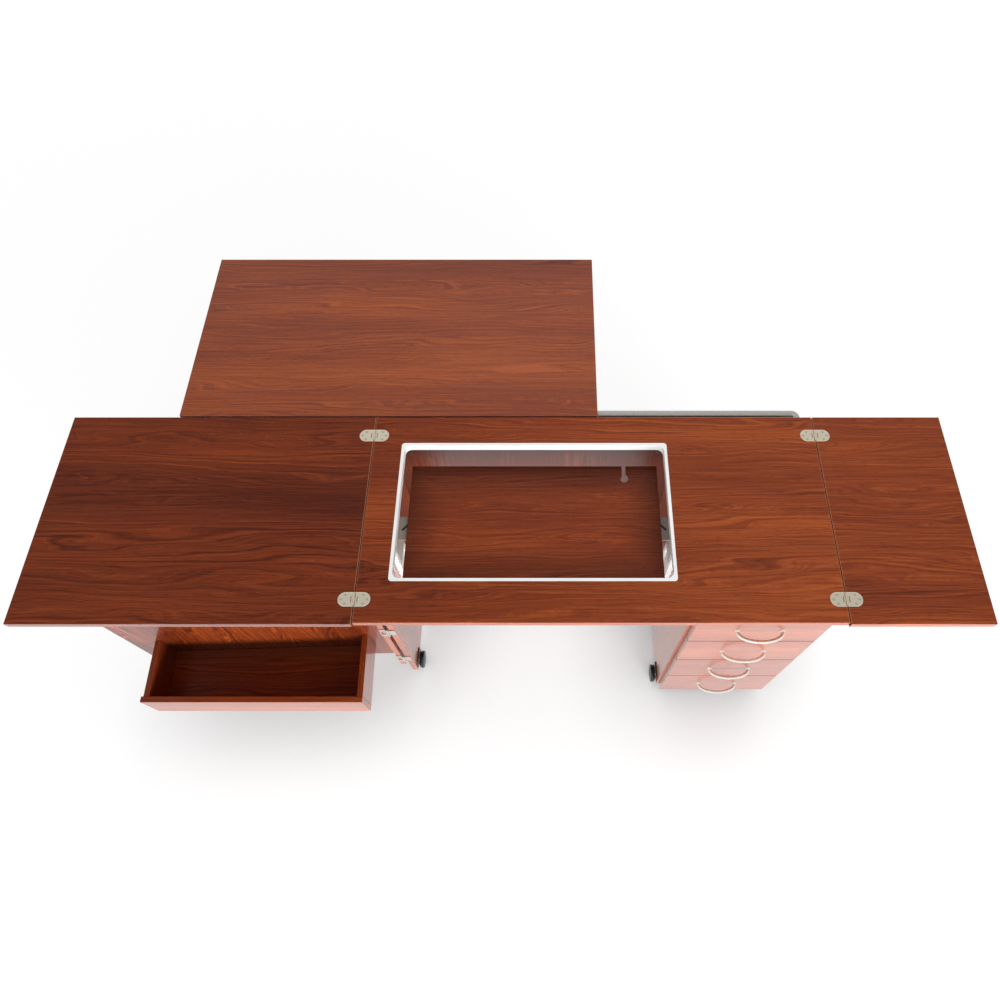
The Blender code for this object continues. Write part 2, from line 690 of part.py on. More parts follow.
def build_drawers(sides):
    """Overlay fronts on boxes whose side cleats run in grooves in the pedestal's sides."""
    inner_left = PEDESTAL_LEFT + PANEL_THICK
    inner_right = PEDESTAL_RIGHT - PANEL_THICK
    middle = (inner_left + inner_right) / 2
    box_left = inner_left + BOX_SIDE_GAP
    box_right = inner_right - BOX_SIDE_GAP
    box_front = PEDESTAL_FRONT
    box_back = BACK_INNER - BOX_BACK_ROOM
    for number in range(1, DRAWER_COUNT + 1):
        name = f"drawer_{number}"
        front_top = TOP_UNDER - FRONT_END_GAP - (number - 1) * FRONT_PITCH
        front_low = front_top - FRONT_PITCH + FRONT_GAP
        frame = Frame(name + "_slide", (middle, FRONTS_FACE, front_low), CABINET)
        board(
            name + "_front",
            frame,
            (PEDESTAL_LEFT + FRONT_SIDE_INSET, FRONTS_FACE, front_low),
            (PEDESTAL_RIGHT - FRONT_SIDE_INSET, FRONTS_BACK, front_top),
        )
        low = front_low + BOX_RISE
        box = board(
            name + "_box",
            frame,
            (box_left, box_front, low),
            (box_right, box_back, low + BOX_HEIGHT),
            BOX_WOOD,
            edge=0.0,
        )
        hollow = board(
            name + "_hollow",
            frame,
            (box_left + BOX_WALL, box_front + BOX_WALL, low + BOX_FLOOR),
            (box_right - BOX_WALL, box_back - BOX_WALL, low + BOX_HEIGHT + CUT_PAST),
            None,
        )
        cut(box, hollow)
        cleat_low = low + CLEAT_RISE
        for side, panel in zip((-1, 1), sides):
            face = box_left if side < 0 else box_right
            run_in = (face, face + side * CLEAT_REACH)
            weld = sorted((face - side * BOX_WALL / 2, run_in[1]))
            groove = sorted((face - side * BOX_SIDE_GAP, run_in[1] + side * RUN_GAP))
            label = "left" if side < 0 else "right"
            cleat = board(
                f"{name}_cleat_{label}",
                frame,
                (weld[0], box_front + BOX_WALL, cleat_low),
                (weld[1], box_back - BOX_WALL, cleat_low + CLEAT_HEIGHT),
                None,
            )
            weld_on(box, cleat)
            slot = board(
                f"{name}_groove_{label}",
                CABINET,
                (groove[0], PEDESTAL_FRONT - CUT_PAST, cleat_low - SEAT_GAP),
                (groove[1], box_back, cleat_low + CLEAT_HEIGHT + RUN_GAP),
                None,
            )
            cut(panel, slot)
        spot = (middle, FRONTS_FACE - SEAT_GAP, (front_low + front_top) / 2)
        place(name + "_handle", tube_mesh(name + "_handle", bow_path(), HANDLE_RADIUS), frame, spot, NICKEL)


def build_door():
    """The swing-out door: a panel and a hinge board at right angles, and a bin on the inner face that
    is deeper towards the hinges."""
    board_right = DOOR_AXIS_X - DOOR_HINGE_GAP
    board_left = board_right - HINGE_BOARD_THICK
    board_front = DOOR_AXIS_Y + DOOR_HINGE_AXIS_OUT
    board(
        "door_panel",
        DOOR_SWING,
        (DOOR_AXIS_X - DOOR_LENGTH, DOOR_FACE, DOOR_BOTTOM),
        (board_right, DOOR_FACE + DOOR_THICK, DOOR_TOP),
    )
    board(
        "door_hinge_board",
        DOOR_SWING,
        (board_left, board_front, DOOR_BOTTOM),
        (board_right, DOOR_FACE - SEAT_GAP, DOOR_TOP),
    )
    right = DOOR_AXIS_X - BIN_FROM_AXIS
    left = right - BIN_WIDTH
    low = DOOR_BOTTOM + BIN_RISE
    high = low + BIN_HEIGHT
    front = DOOR_FACE - BIN_DEPTH
    inner = front + BIN_WALL
    back = DOOR_FACE - SEAT_GAP
    lap_left = left - BIN_FRONT_LAP
    board("bin_front", DOOR_SWING, (lap_left, front, low), (right, inner, high), skew=-BIN_SKEW)
    trim = board(
        "bin_trim",
        DOOR_SWING,
        (lap_left - BIN_WALL, front - BIN_WALL, low - CUT_PAST),
        (right + BIN_WALL, inner + SEAT_GAP, high + CUT_PAST),
        None,
        skew=-BIN_SKEW,
    )
    floor_left = left + BIN_WALL + SEAT_GAP
    floor_right = right - BIN_WALL - SEAT_GAP
    for name, near_x, far_x, top in (
        ("bin_left_side", left, left + BIN_WALL, high),
        ("bin_right_side", right - BIN_WALL, right, high),
        ("bin_bottom", floor_left, floor_right, low + BIN_FLOOR),
    ):
        cut(board(name, DOOR_SWING, (near_x, front, low), (far_x, back, top)), trim)
    upright = Euler((math.pi / 2, 0.0, 0.0))
    for number, rise in enumerate(DOOR_HINGE_RISES, 1):
        spot = (DOOR_AXIS_X, DOOR_AXIS_Y, rise)
        window = ((DOOR_HINGE.neck + DOOR_HINGE.reach) / 2, DOOR_WINDOW_WIDE, DOOR_WINDOW_TALL)
        hinge(f"door_hinge_{number}", DOOR_HINGE, spot, upright, CABINET, DOOR_SWING, [], [window])


def rail_path():
    """The rail's middle line: straight behind the top, its ends bent forward to the back panel."""
    foot = BACK_OUTER + SEAT_GAP
    turn_y = RAIL_Y - RAIL_BEND
    bend_left = arc((RAIL_LEFT + RAIL_BEND, turn_y), RAIL_BEND, 180, 90, RAIL_BEND_STEPS)
    bend_right = arc((RAIL_RIGHT - RAIL_BEND, turn_y), RAIL_BEND, 90, 0, RAIL_BEND_STEPS)
    flat = [(RAIL_LEFT, foot)] + bend_left + bend_right + [(RAIL_RIGHT, foot)]
    return [(x, y - RAIL_Y, 0.0) for x, y in flat]


def build_quilt_leaf():
    """The drop leaf: it slides along the rail on two glides and swings down about it on two brackets."""
    rail = place(
        "quilt_rail",
        tube_mesh("quilt_rail", rail_path(), RAIL_RADIUS),
        CABINET,
        (0.0, RAIL_Y, RAIL_Z),
        RAIL_GREY,
    )
    flange_y = BACK_OUTER + SEAT_GAP + FLANGE_THICK / 2
    for label, x in (("left", RAIL_LEFT), ("right", RAIL_RIGHT)):
        flange_spot = (x, flange_y, RAIL_Z)
        weld_on(rail, rod(f"rail_flange_{label}", CABINET, flange_spot, FLANGE_RADIUS, FLANGE_THICK, "Y"))
    board(
        "quilt_leaf",
        QUILT_SWING,
        (QUILT_LEFT, QUILT_NEAR, TOP_UNDER),
        (QUILT_RIGHT, QUILT_FAR, TABLE_HEIGHT),
    )
    bore = RAIL_RADIUS + SEAT_GAP
    glide_radius = bore + GLIDE_WALL
    ring_bore = glide_radius + SEAT_GAP
    ring_radius = ring_bore + BRACKET_WALL
    plate_top = TOP_UNDER - SEAT_GAP
    for number, glide_x in enumerate(GLIDE_SPOTS, 1):
        spot = (glide_x, RAIL_Y, RAIL_Z)
        glide_name = f"quilt_glide_{number}"
        glide = rod(glide_name, QUILT_SLIDE, spot, glide_radius, GLIDE_LENGTH, "X", GLIDE_NYLON)
        cut(glide, rod(glide_name + "_bore", QUILT_SLIDE, spot, bore, GLIDE_LENGTH + CUT_PAST, "X"))
        ring_name = f"quilt_bracket_{number}"
        ring = rod(ring_name, QUILT_SWING, spot, ring_radius, BRACKET_LENGTH, "X", NICKEL)
        plate = board(
            ring_name + "_plate",
            QUILT_SWING,
            (spot[0] - BRACKET_LENGTH / 2, RAIL_Y, plate_top - BRACKET_PLATE_THICK),
            (spot[0] + BRACKET_LENGTH / 2, RAIL_Y + BRACKET_PLATE_REACH, plate_top),
            None,
        )
        weld_on(ring, plate)
        cut(ring, rod(ring_name + "_bore", QUILT_SWING, spot, ring_bore, BRACKET_LENGTH + CUT_PAST, "X"))


def build_lift():
    """The machine platform on two bent arms, whose sliders run in channels on the kneehole's sides."""
    middle_x, middle_y = OPENING_MIDDLE
    under = PLATFORM_TOP - PLATFORM_THICK
    half_wide = PLATFORM_WIDTH / 2
    back = middle_y + PLATFORM_DEPTH / 2
    platform = board(
        "machine_platform",
        LIFT,
        (middle_x - half_wide, middle_y - PLATFORM_DEPTH / 2, under),
        (middle_x + half_wide, back, PLATFORM_TOP),
    )
    slot_x = middle_x + half_wide - CABLE_SLOT_FROM_RIGHT
    slot = board(
        "cable_slot",
        LIFT,
        (slot_x - CABLE_SLOT_WIDTH / 2, back - CABLE_SLOT_LONG, under - CUT_PAST),
        (slot_x + CABLE_SLOT_WIDTH / 2, back + CUT_PAST, PLATFORM_TOP + CUT_PAST),
        None,
    )
    hole_length = PLATFORM_THICK + 2 * CUT_PAST
    hole_spot = (slot_x, back - CABLE_SLOT_LONG, PLATFORM_TOP - PLATFORM_THICK / 2)
    cut(platform, slot)
    cut(platform, rod("cable_hole", LIFT, hole_spot, CABLE_HOLE_RADIUS, hole_length, "Z"))
    rail_top = TOP_UNDER - LIFT_RAIL_TOP_GAP
    rail_low = rail_top - LIFT_RAIL_LENGTH
    half_rail = LIFT_RAIL_WIDE / 2
    guide_y = middle_y - LIFT_GUIDE_FORWARD
    for label, face, side in (("left", SUPPORT_INNER, 1), ("right", PEDESTAL_LEFT, -1)):

        def span(near, far):
            return sorted((face + side * near, face + side * far))

        outer = span(SEAT_GAP, SEAT_GAP + LIFT_RAIL_DEEP)
        rail = board(
            f"lift_rail_{label}",
            CABINET,
            (outer[0], guide_y - half_rail, rail_low),
            (outer[1], guide_y + half_rail, rail_top),
            WHITE_STEEL,
            edge=0.0,
        )
        inside = span(SEAT_GAP + LIFT_RAIL_WALL, SEAT_GAP + LIFT_RAIL_DEEP - LIFT_RAIL_WALL)
        channel = board(
            f"lift_channel_{label}",
            CABINET,
            (inside[0], guide_y - half_rail + LIFT_RAIL_WALL, rail_low - CUT_PAST),
            (inside[1], guide_y + half_rail - LIFT_RAIL_WALL, rail_top + CUT_PAST),
            None,
        )
        mouth_half = half_rail - LIFT_RAIL_LIP
        mouth_span = span(SEAT_GAP + LIFT_RAIL_DEEP / 2, SEAT_GAP + LIFT_RAIL_DEEP + CUT_PAST)
        mouth = board(
            f"lift_mouth_{label}",
            CABINET,
            (mouth_span[0], guide_y - mouth_half, rail_low - CUT_PAST),
            (mouth_span[1], guide_y + mouth_half, rail_top + CUT_PAST),
            None,
        )
        cut(rail, channel)
        cut(rail, mouth)
        plate_near = SEAT_GAP + LIFT_RAIL_DEEP + RUN_GAP
        plate_far = plate_near + CARRIAGE_THICK
        plate_top = under - SEAT_GAP
        upright = span(plate_near, plate_far)
        carriage = board(
            f"lift_carriage_{label}",
            LIFT,
            (upright[0], guide_y - CARRIAGE_WIDE / 2, plate_top - CARRIAGE_DROP),
            (upright[1], guide_y + CARRIAGE_WIDE / 2, plate_top - CARRIAGE_THICK / 2),
            TAUPE_STEEL,
            edge=0.0,
        )
        edge_x = middle_x - side * half_wide
        arm_start = face + side * (plate_near + plate_far) / 2
        arm_ends = sorted((arm_start, edge_x + side * CARRIAGE_ARM))
        arm_half = CARRIAGE_WIDE / 2 - EDGE_ROUND
        arm = board(
            f"lift_arm_{label}",
            LIFT,
            (arm_ends[0], guide_y - arm_half, plate_top - CARRIAGE_THICK),
            (arm_ends[1], guide_y + arm_half, plate_top),
            None,
        )
        inner_near = SEAT_GAP + LIFT_RAIL_WALL + RUN_GAP
        inner_far = SEAT_GAP + LIFT_RAIL_DEEP - LIFT_RAIL_WALL - RUN_GAP
        shoe_span = span(inner_near, inner_far)
        shoe_half = half_rail - LIFT_RAIL_WALL - RUN_GAP
        slider_low = plate_top - CARRIAGE_DROP
        shoe = board(
            f"lift_shoe_{label}",
            LIFT,
            (shoe_span[0], guide_y - shoe_half, slider_low),
            (shoe_span[1], guide_y + shoe_half, slider_low + SLIDER_TALL),
            None,
        )
        neck_span = span(inner_far - LIFT_RAIL_WALL, plate_far - CARRIAGE_THICK / 2)
        neck_half = mouth_half - RUN_GAP
        neck = board(
            f"lift_neck_{label}",
            LIFT,
            (neck_span[0], guide_y - neck_half, slider_low),
            (neck_span[1], guide_y + neck_half, slider_low + SLIDER_TALL),
            None,
        )
        for tool in (arm, neck, shoe):
            weld_on(carriage, tool)


def build_casters():
    """Side-mounted casters on the kneehole faces: a plate with a headed axle, and a wheel on it."""
    front_ys = {"left": SUPPORT_FRONT + CASTER_FROM_EDGE, "right": PEDESTAL_FRONT + CASTER_FROM_EDGE}
    back_y = BACK_INNER - CASTER_FROM_EDGE
    for label, face, side in (("left", SUPPORT_INNER, 1), ("right", PEDESTAL_LEFT, -1)):
        for end, y in (("front", front_ys[label]), ("back", back_y)):
            name = f"caster_{end}_{label}"
            plate_far = SEAT_GAP + CASTER_PLATE_THICK
            plate_span = sorted((face + side * SEAT_GAP, face + side * plate_far))
            plate_low = AXLE_Z - AXLE_HEAD_RADIUS
            bracket = board(
                name + "_bracket",
                CABINET,
                (plate_span[0], y - CASTER_PLATE_LONG / 2, plate_low),
                (plate_span[1], y + CASTER_PLATE_LONG / 2, PANEL_BOTTOM + CASTER_PLATE_RISE),
                NYLON,
            )
            wheel_near = plate_far + CASTER_SIDE_GAP
            wheel_middle = wheel_near + WHEEL_WIDE / 2
            head_near = wheel_near + WHEEL_WIDE + RUN_GAP
            axle_end = head_near + AXLE_HEAD_THICK
            axle_start = SEAT_GAP + CASTER_PLATE_THICK / 2
            axle_x = face + side * (axle_start + axle_end) / 2
            axle_long = axle_end - axle_start
            head_x = face + side * (head_near + AXLE_HEAD_THICK / 2)
            weld_on(bracket, rod(name + "_axle", CABINET, (axle_x, y, AXLE_Z), AXLE_RADIUS, axle_long, "X"))
            head = rod(name + "_head", CABINET, (head_x, y, AXLE_Z), AXLE_HEAD_RADIUS, AXLE_HEAD_THICK, "X")
            weld_on(bracket, head)
            spin = Frame(name + "_spin", (face + side * wheel_middle, y, AXLE_Z), CABINET)
            corner_radius = WHEEL_RADIUS / math.cos(math.pi / WHEEL_SIDES)
            wheel = rod(
                name + "_wheel",
                spin,
                spin.spot,
                corner_radius,
                WHEEL_WIDE,
                "X",
                NYLON,
                WHEEL_SIDES,
            )
            soften = wheel.modifiers.new("tread_round", "BEVEL")
            soften.width = WHEEL_ROUND
            soften.segments = 2
            soften.limit_method = "ANGLE"
            soften.angle_limit = math.radians(50)
            bore_radius = AXLE_RADIUS + PIN_GAP
            bore = rod(name + "_bore", spin, spin.spot, bore_radius, WHEEL_WIDE + CUT_PAST, "X")
            cut(wheel, bore)


TOP = build_tops()
build_liner(TOP)
build_drawers(build_carcass())
build_door()
build_quilt_leaf()
build_lift()
build_casters()
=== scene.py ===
"""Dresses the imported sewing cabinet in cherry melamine, nickel, painted steel and nylon, and stages it.

Every finish reads Object coordinates, which are the cabinet's own metres, so a print stays on its
board at any pose. Small fittings that the solids leave out are numpy surfaces on the right body.
"""

import json
import math
from collections import namedtuple

import bmesh
import bpy
import numpy as np
from bpy.props import FloatProperty, FloatVectorProperty, PointerProperty
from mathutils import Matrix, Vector


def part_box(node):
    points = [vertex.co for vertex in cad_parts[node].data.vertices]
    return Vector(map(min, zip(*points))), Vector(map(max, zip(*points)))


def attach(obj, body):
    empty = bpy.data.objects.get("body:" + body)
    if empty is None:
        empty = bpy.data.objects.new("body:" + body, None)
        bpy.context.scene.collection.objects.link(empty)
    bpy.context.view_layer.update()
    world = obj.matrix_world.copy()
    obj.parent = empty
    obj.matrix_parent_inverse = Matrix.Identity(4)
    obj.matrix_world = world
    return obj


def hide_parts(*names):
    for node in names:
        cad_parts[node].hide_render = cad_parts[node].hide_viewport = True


bl_info = {
    "name": "Sewing Cabinet Looks",
    "version": (1, 0, 0),
    "blender": (4, 5, 0),
    "location": "3D View > Sidebar > Cabinet",
    "description": "Finishes, fittings and studio for the packed sewing cabinet",
    "category": "3D View",
}

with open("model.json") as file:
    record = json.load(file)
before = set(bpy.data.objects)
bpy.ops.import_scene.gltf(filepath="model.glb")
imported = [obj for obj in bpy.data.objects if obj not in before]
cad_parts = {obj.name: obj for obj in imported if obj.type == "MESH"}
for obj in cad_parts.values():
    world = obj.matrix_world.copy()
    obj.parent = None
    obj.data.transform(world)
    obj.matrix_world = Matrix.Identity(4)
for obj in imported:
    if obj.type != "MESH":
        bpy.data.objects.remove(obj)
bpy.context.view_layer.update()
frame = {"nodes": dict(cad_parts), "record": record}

MM = 0.001
TURN = 2 * math.pi
PHOTO_SIDE = 1000.0
SENSOR = 36.0
UP = (0, 0, 1)
FORWARDS = (0, -1, 0)
DRAWERS = range(1, 5)
DOOR_HINGES = range(1, 4)


def linear(code):
    """Linear colour of an sRGB hex code, by the sRGB curve."""
    value = np.array([int(code[at : at + 2], 16) for at in (1, 3, 5)]) / 255
    return np.where(value <= 0.04045, value / 12.92, ((value + 0.055) / 1.055) ** 2.4).tolist()


def opaque(colour):
    return (*colour[:3], 1.0)


def grey(value):
    return (value, value, value)


# Settings that a user would change


def colour_setting(name, description, code):
    return FloatVectorProperty(
        name=name, description=description, subtype="COLOR", min=0.0, max=1.0, default=linear(code)
    )


def length_setting(name, description, millimetres):
    return FloatProperty(
        name=name, description=description, subtype="DISTANCE", unit="LENGTH", default=millimetres * MM
    )


class CabinetMelamine(bpy.types.PropertyGroup):
    """The cherry print of the boards."""

    light: colour_setting("Light grain", "Early wood between the growth lines", "#A24E1F")
    mid: colour_setting("Mid grain", "The body of the print", "#7F3616")
    dark: colour_setting("Dark grain", "Late wood and dark streaks", "#4E1B0B")
    box_light: colour_setting("Box light", "Light grain inside the drawer boxes", "#8A5236")
    box_dark: colour_setting("Box dark", "Dark grain inside the drawer boxes", "#4A2416")
    # Painted highlight: the pale colour along a fold is light painted on, and the next setting gives how far
    # the painted highlight and the fold's painted shade reach
    worn: colour_setting("Painted fold highlight", "Where a highlight is painted along a fold", "#D0906F")
    painted_fold_width: length_setting("Painted fold width", "How far that reaches from a fold", 1.0)
    # Painted shade: the platform's darker border stands for the shade that the well's walls cast on it
    border: length_setting("Border", "How far the platform's darker border reaches in", 110)
    flame: length_setting("Flame", "Length of one flame figure along the grain", 500)
    lane: length_setting("Lane", "Width of one flame figure across the grain", 66.7)
    ring: length_setting("Growth line", "Usual distance between growth lines", 3.2)
    fibre: length_setting("Fibre", "Width of a fibre streak", 1.8)
    pore: length_setting("Pore", "Width of a pore dash", 0.6)


class CabinetHardware(bpy.types.PropertyGroup):
    """Metal and plastic parts."""

    nickel: colour_setting("Nickel", "Satin nickel of the leaf hinges", "#EADFC8")
    handle: colour_setting("Handle", "Bright nickel of the drawer handles", "#F6F2EA")
    zinc: colour_setting("Zinc", "Bright plate of the door hinges and screws", "#E2E2DE")
    # The leaf screws' darker steel is partly their own steel and partly painted shade, for the shade in
    # their recesses
    screw_steel: colour_setting("Screw steel", "Dull steel of the leaf hinges' screws", "#C6C0B4")
    tube: colour_setting("Tube", "Drawn steel of the leaf's rail", "#C2C0BC")
    white_paint: colour_setting("White paint", "Powder coat of the lift's channels", "#EDECEA")
    taupe_paint: colour_setting("Taupe paint", "Powder coat of the lift's arms", "#9C948A")
    liner: colour_setting("Liner", "Moulded frame of the opening", "#F4F4F2")
    black_nylon: colour_setting("Black nylon", "Casters", "#232326")
    white_nylon: colour_setting("White nylon", "Glides on the rail", "#DCDAD2")
    screw: length_setting("Leaf screw", "Head of a leaf hinge's screw, across", 5.6)
    door_screw: length_setting("Door screw", "Head of a door hinge's screw, across", 5.0)
    rim: length_setting("Rim", "Width of the raised border of a leaf hinge", 1.5)
    rim_height: length_setting("Rim height", "How far that border stands up", 0.5)


class CabinetStage(bpy.types.PropertyGroup):
    """Camera, lamps and floor."""

    camera_place: FloatVectorProperty(
        name="Camera",
        description="Where the camera stands",
        subtype="XYZ",
        unit="LENGTH",
        default=(0.0974, -0.944543, 2.360),
    )
    camera_tilt: FloatProperty(
        name="Tilt",
        description="Camera's turn up from straight down",
        subtype="ANGLE",
        default=math.radians(29.13),
    )
    focal_px: FloatProperty(
        name="Focal length", description="In pixels of the photograph", subtype="PIXEL", default=777.0
    )
    middle_px: FloatVectorProperty(
        name="Optical middle", description="Its pixel in the photograph", size=2, default=(547.0, 450.0)
    )
    sky_power: FloatProperty(name="Overhead lamp", description="Power", unit="POWER", default=122.0)
    front_power: FloatProperty(name="Front lamp", description="Power", unit="POWER", default=230.0)
    ambient: FloatProperty(name="Ambient", description="Even light from all round", default=0.5)
    floor: colour_setting("Floor", "Colour of the plain floor", "#FFFFFF")


# Nodes and materials


def add(tree, kind, feeds=None, stops=None, **settings):
    """Adds a node with its settings. feeds gives each input a value or another node's output, and
    stops gives a colour ramp its places and colours."""
    node = tree.nodes.new(kind)
    for key, value in settings.items():
        setattr(node, key, value)
    for key, value in (feeds or {}).items():
        if isinstance(value, bpy.types.NodeSocket):
            tree.links.new(value, node.inputs[key])
        else:
            node.inputs[key].default_value = value
    if stops:
        while len(node.color_ramp.elements) < len(stops):
            node.color_ramp.elements.new(1.0)
        for element, (place, colour) in zip(node.color_ramp.elements, stops):
            element.position = place
            element.color = opaque(colour)
    return node


def new_material(name):
    """An empty material, its tree and its Object coordinates."""
    made = bpy.data.materials.new(name)
    made.use_nodes = True
    made.node_tree.nodes.clear()
    place = add(made.node_tree, "ShaderNodeTexCoord").outputs["Object"]
    return made, made.node_tree, place


def close_material(tree, shader):
    add(tree, "ShaderNodeOutputMaterial", {"Surface": shader.outputs[0]})


# Ripples and bands of the print, along and across the grain, and the lengths of its fibres and pores
RIPPLE = (45.5 * MM, 9.1 * MM)
BAND = (1430 * MM, 154 * MM)
FIBRE_LENGTH = 200 * MM
PORE_LENGTH = 22.2 * MM
# What a sway, in lanes, and a ripple add to the height whose level lines are the growth lines
SWAY_RISE = 1.44
RIPPLE_RISE = 3 * MM
# How much the bands and the fibres darken the print, beside the growth lines
BAND_SHARE = 0.6
FIBRE_SHARE = 0.42
# Where the light, mid and dark grain stand on the ramp, and how far a pore darkens them
GRAIN_STOPS = (0.24, 0.5, 0.84)
PORE_STOPS = ((0.58, grey(1.0)), (0.74, (0.72, 0.66, 0.62)))
FIBRE_ROUGH = 0.3
FIBRE_ROUGH_RANGE = 0.12
# The uprights lose their coat between these depths, on the cabinet's Y axis
DULL_FROM = -0.27
DULL_TO = -0.17
RESIN_IOR = 1.5


def print_noises(tree, along, across, look):
    """The noises of the print by name, each stretched to its size along and across the grain. A noise
    turns from dark to light and back over about that size, so streaks are given as twice their width.

    The growth lines are level lines of a height: the place across the grain plus a slow noise, long
    along the grain. Where that noise falls faster than the place rises, the lines close into flames.
    Their strength is a one-way noise of the height, so a line keeps its own darkness all along."""
    flat = add(tree, "ShaderNodeCombineXYZ", {"X": along, "Y": across}).outputs[0]
    noises = {}
    for key, length, width, detail, roughness in (
        ("sway", look.flame, look.lane, 2.0, 0.4),
        ("ripple", *RIPPLE, 2.0, 0.5),
        ("fibres", FIBRE_LENGTH, 2 * look.fibre, 2.0, 0.6),
        ("bands", *BAND, 2.0, 0.5),
        ("pores", PORE_LENGTH, 2 * look.pore, 1.0, 0.5),
    ):
        feeds = {0: flat, 1: (1 / length, 1 / width, 1.0)}
        scaled = add(tree, "ShaderNodeVectorMath", feeds, operation="MULTIPLY").outputs[0]
        feeds = {"Vector": scaled, "Scale": 1.0, "Detail": detail, "Roughness": roughness}
        noises[key] = add(tree, "ShaderNodeTexNoise", feeds, noise_dimensions="2D").outputs["Fac"]
    height = across
    for part, rise in (("sway", SWAY_RISE * look.lane), ("ripple", RIPPLE_RISE)):
        feeds = {0: noises[part], 1: rise, 2: height}
        height = add(tree, "ShaderNodeMath", feeds, operation="MULTIPLY_ADD").outputs[0]
    feeds = {"W": height, "Scale": 1 / (2 * look.ring), "Detail": 4.0, "Roughness": 0.75}
    noises["lines"] = add(tree, "ShaderNodeTexNoise", feeds, noise_dimensions="1D").outputs["Fac"]
    return noises


def edge_distance(tree, place, node):
    """How far inside the node's box a place lies, on each axis, from the nearer side."""
    low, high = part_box(node)
    feeds = {0: place, 1: (low + high) / 2}
    off = add(tree, "ShaderNodeVectorMath", feeds, operation="SUBTRACT").outputs[0]
    off = add(tree, "ShaderNodeVectorMath", {0: off}, operation="ABSOLUTE").outputs[0]
    feeds = {0: (high - low) / 2, 1: off}
    inside = add(tree, "ShaderNodeVectorMath", feeds, operation="SUBTRACT").outputs[0]
    return add(tree, "ShaderNodeSeparateXYZ", {0: inside}).outputs


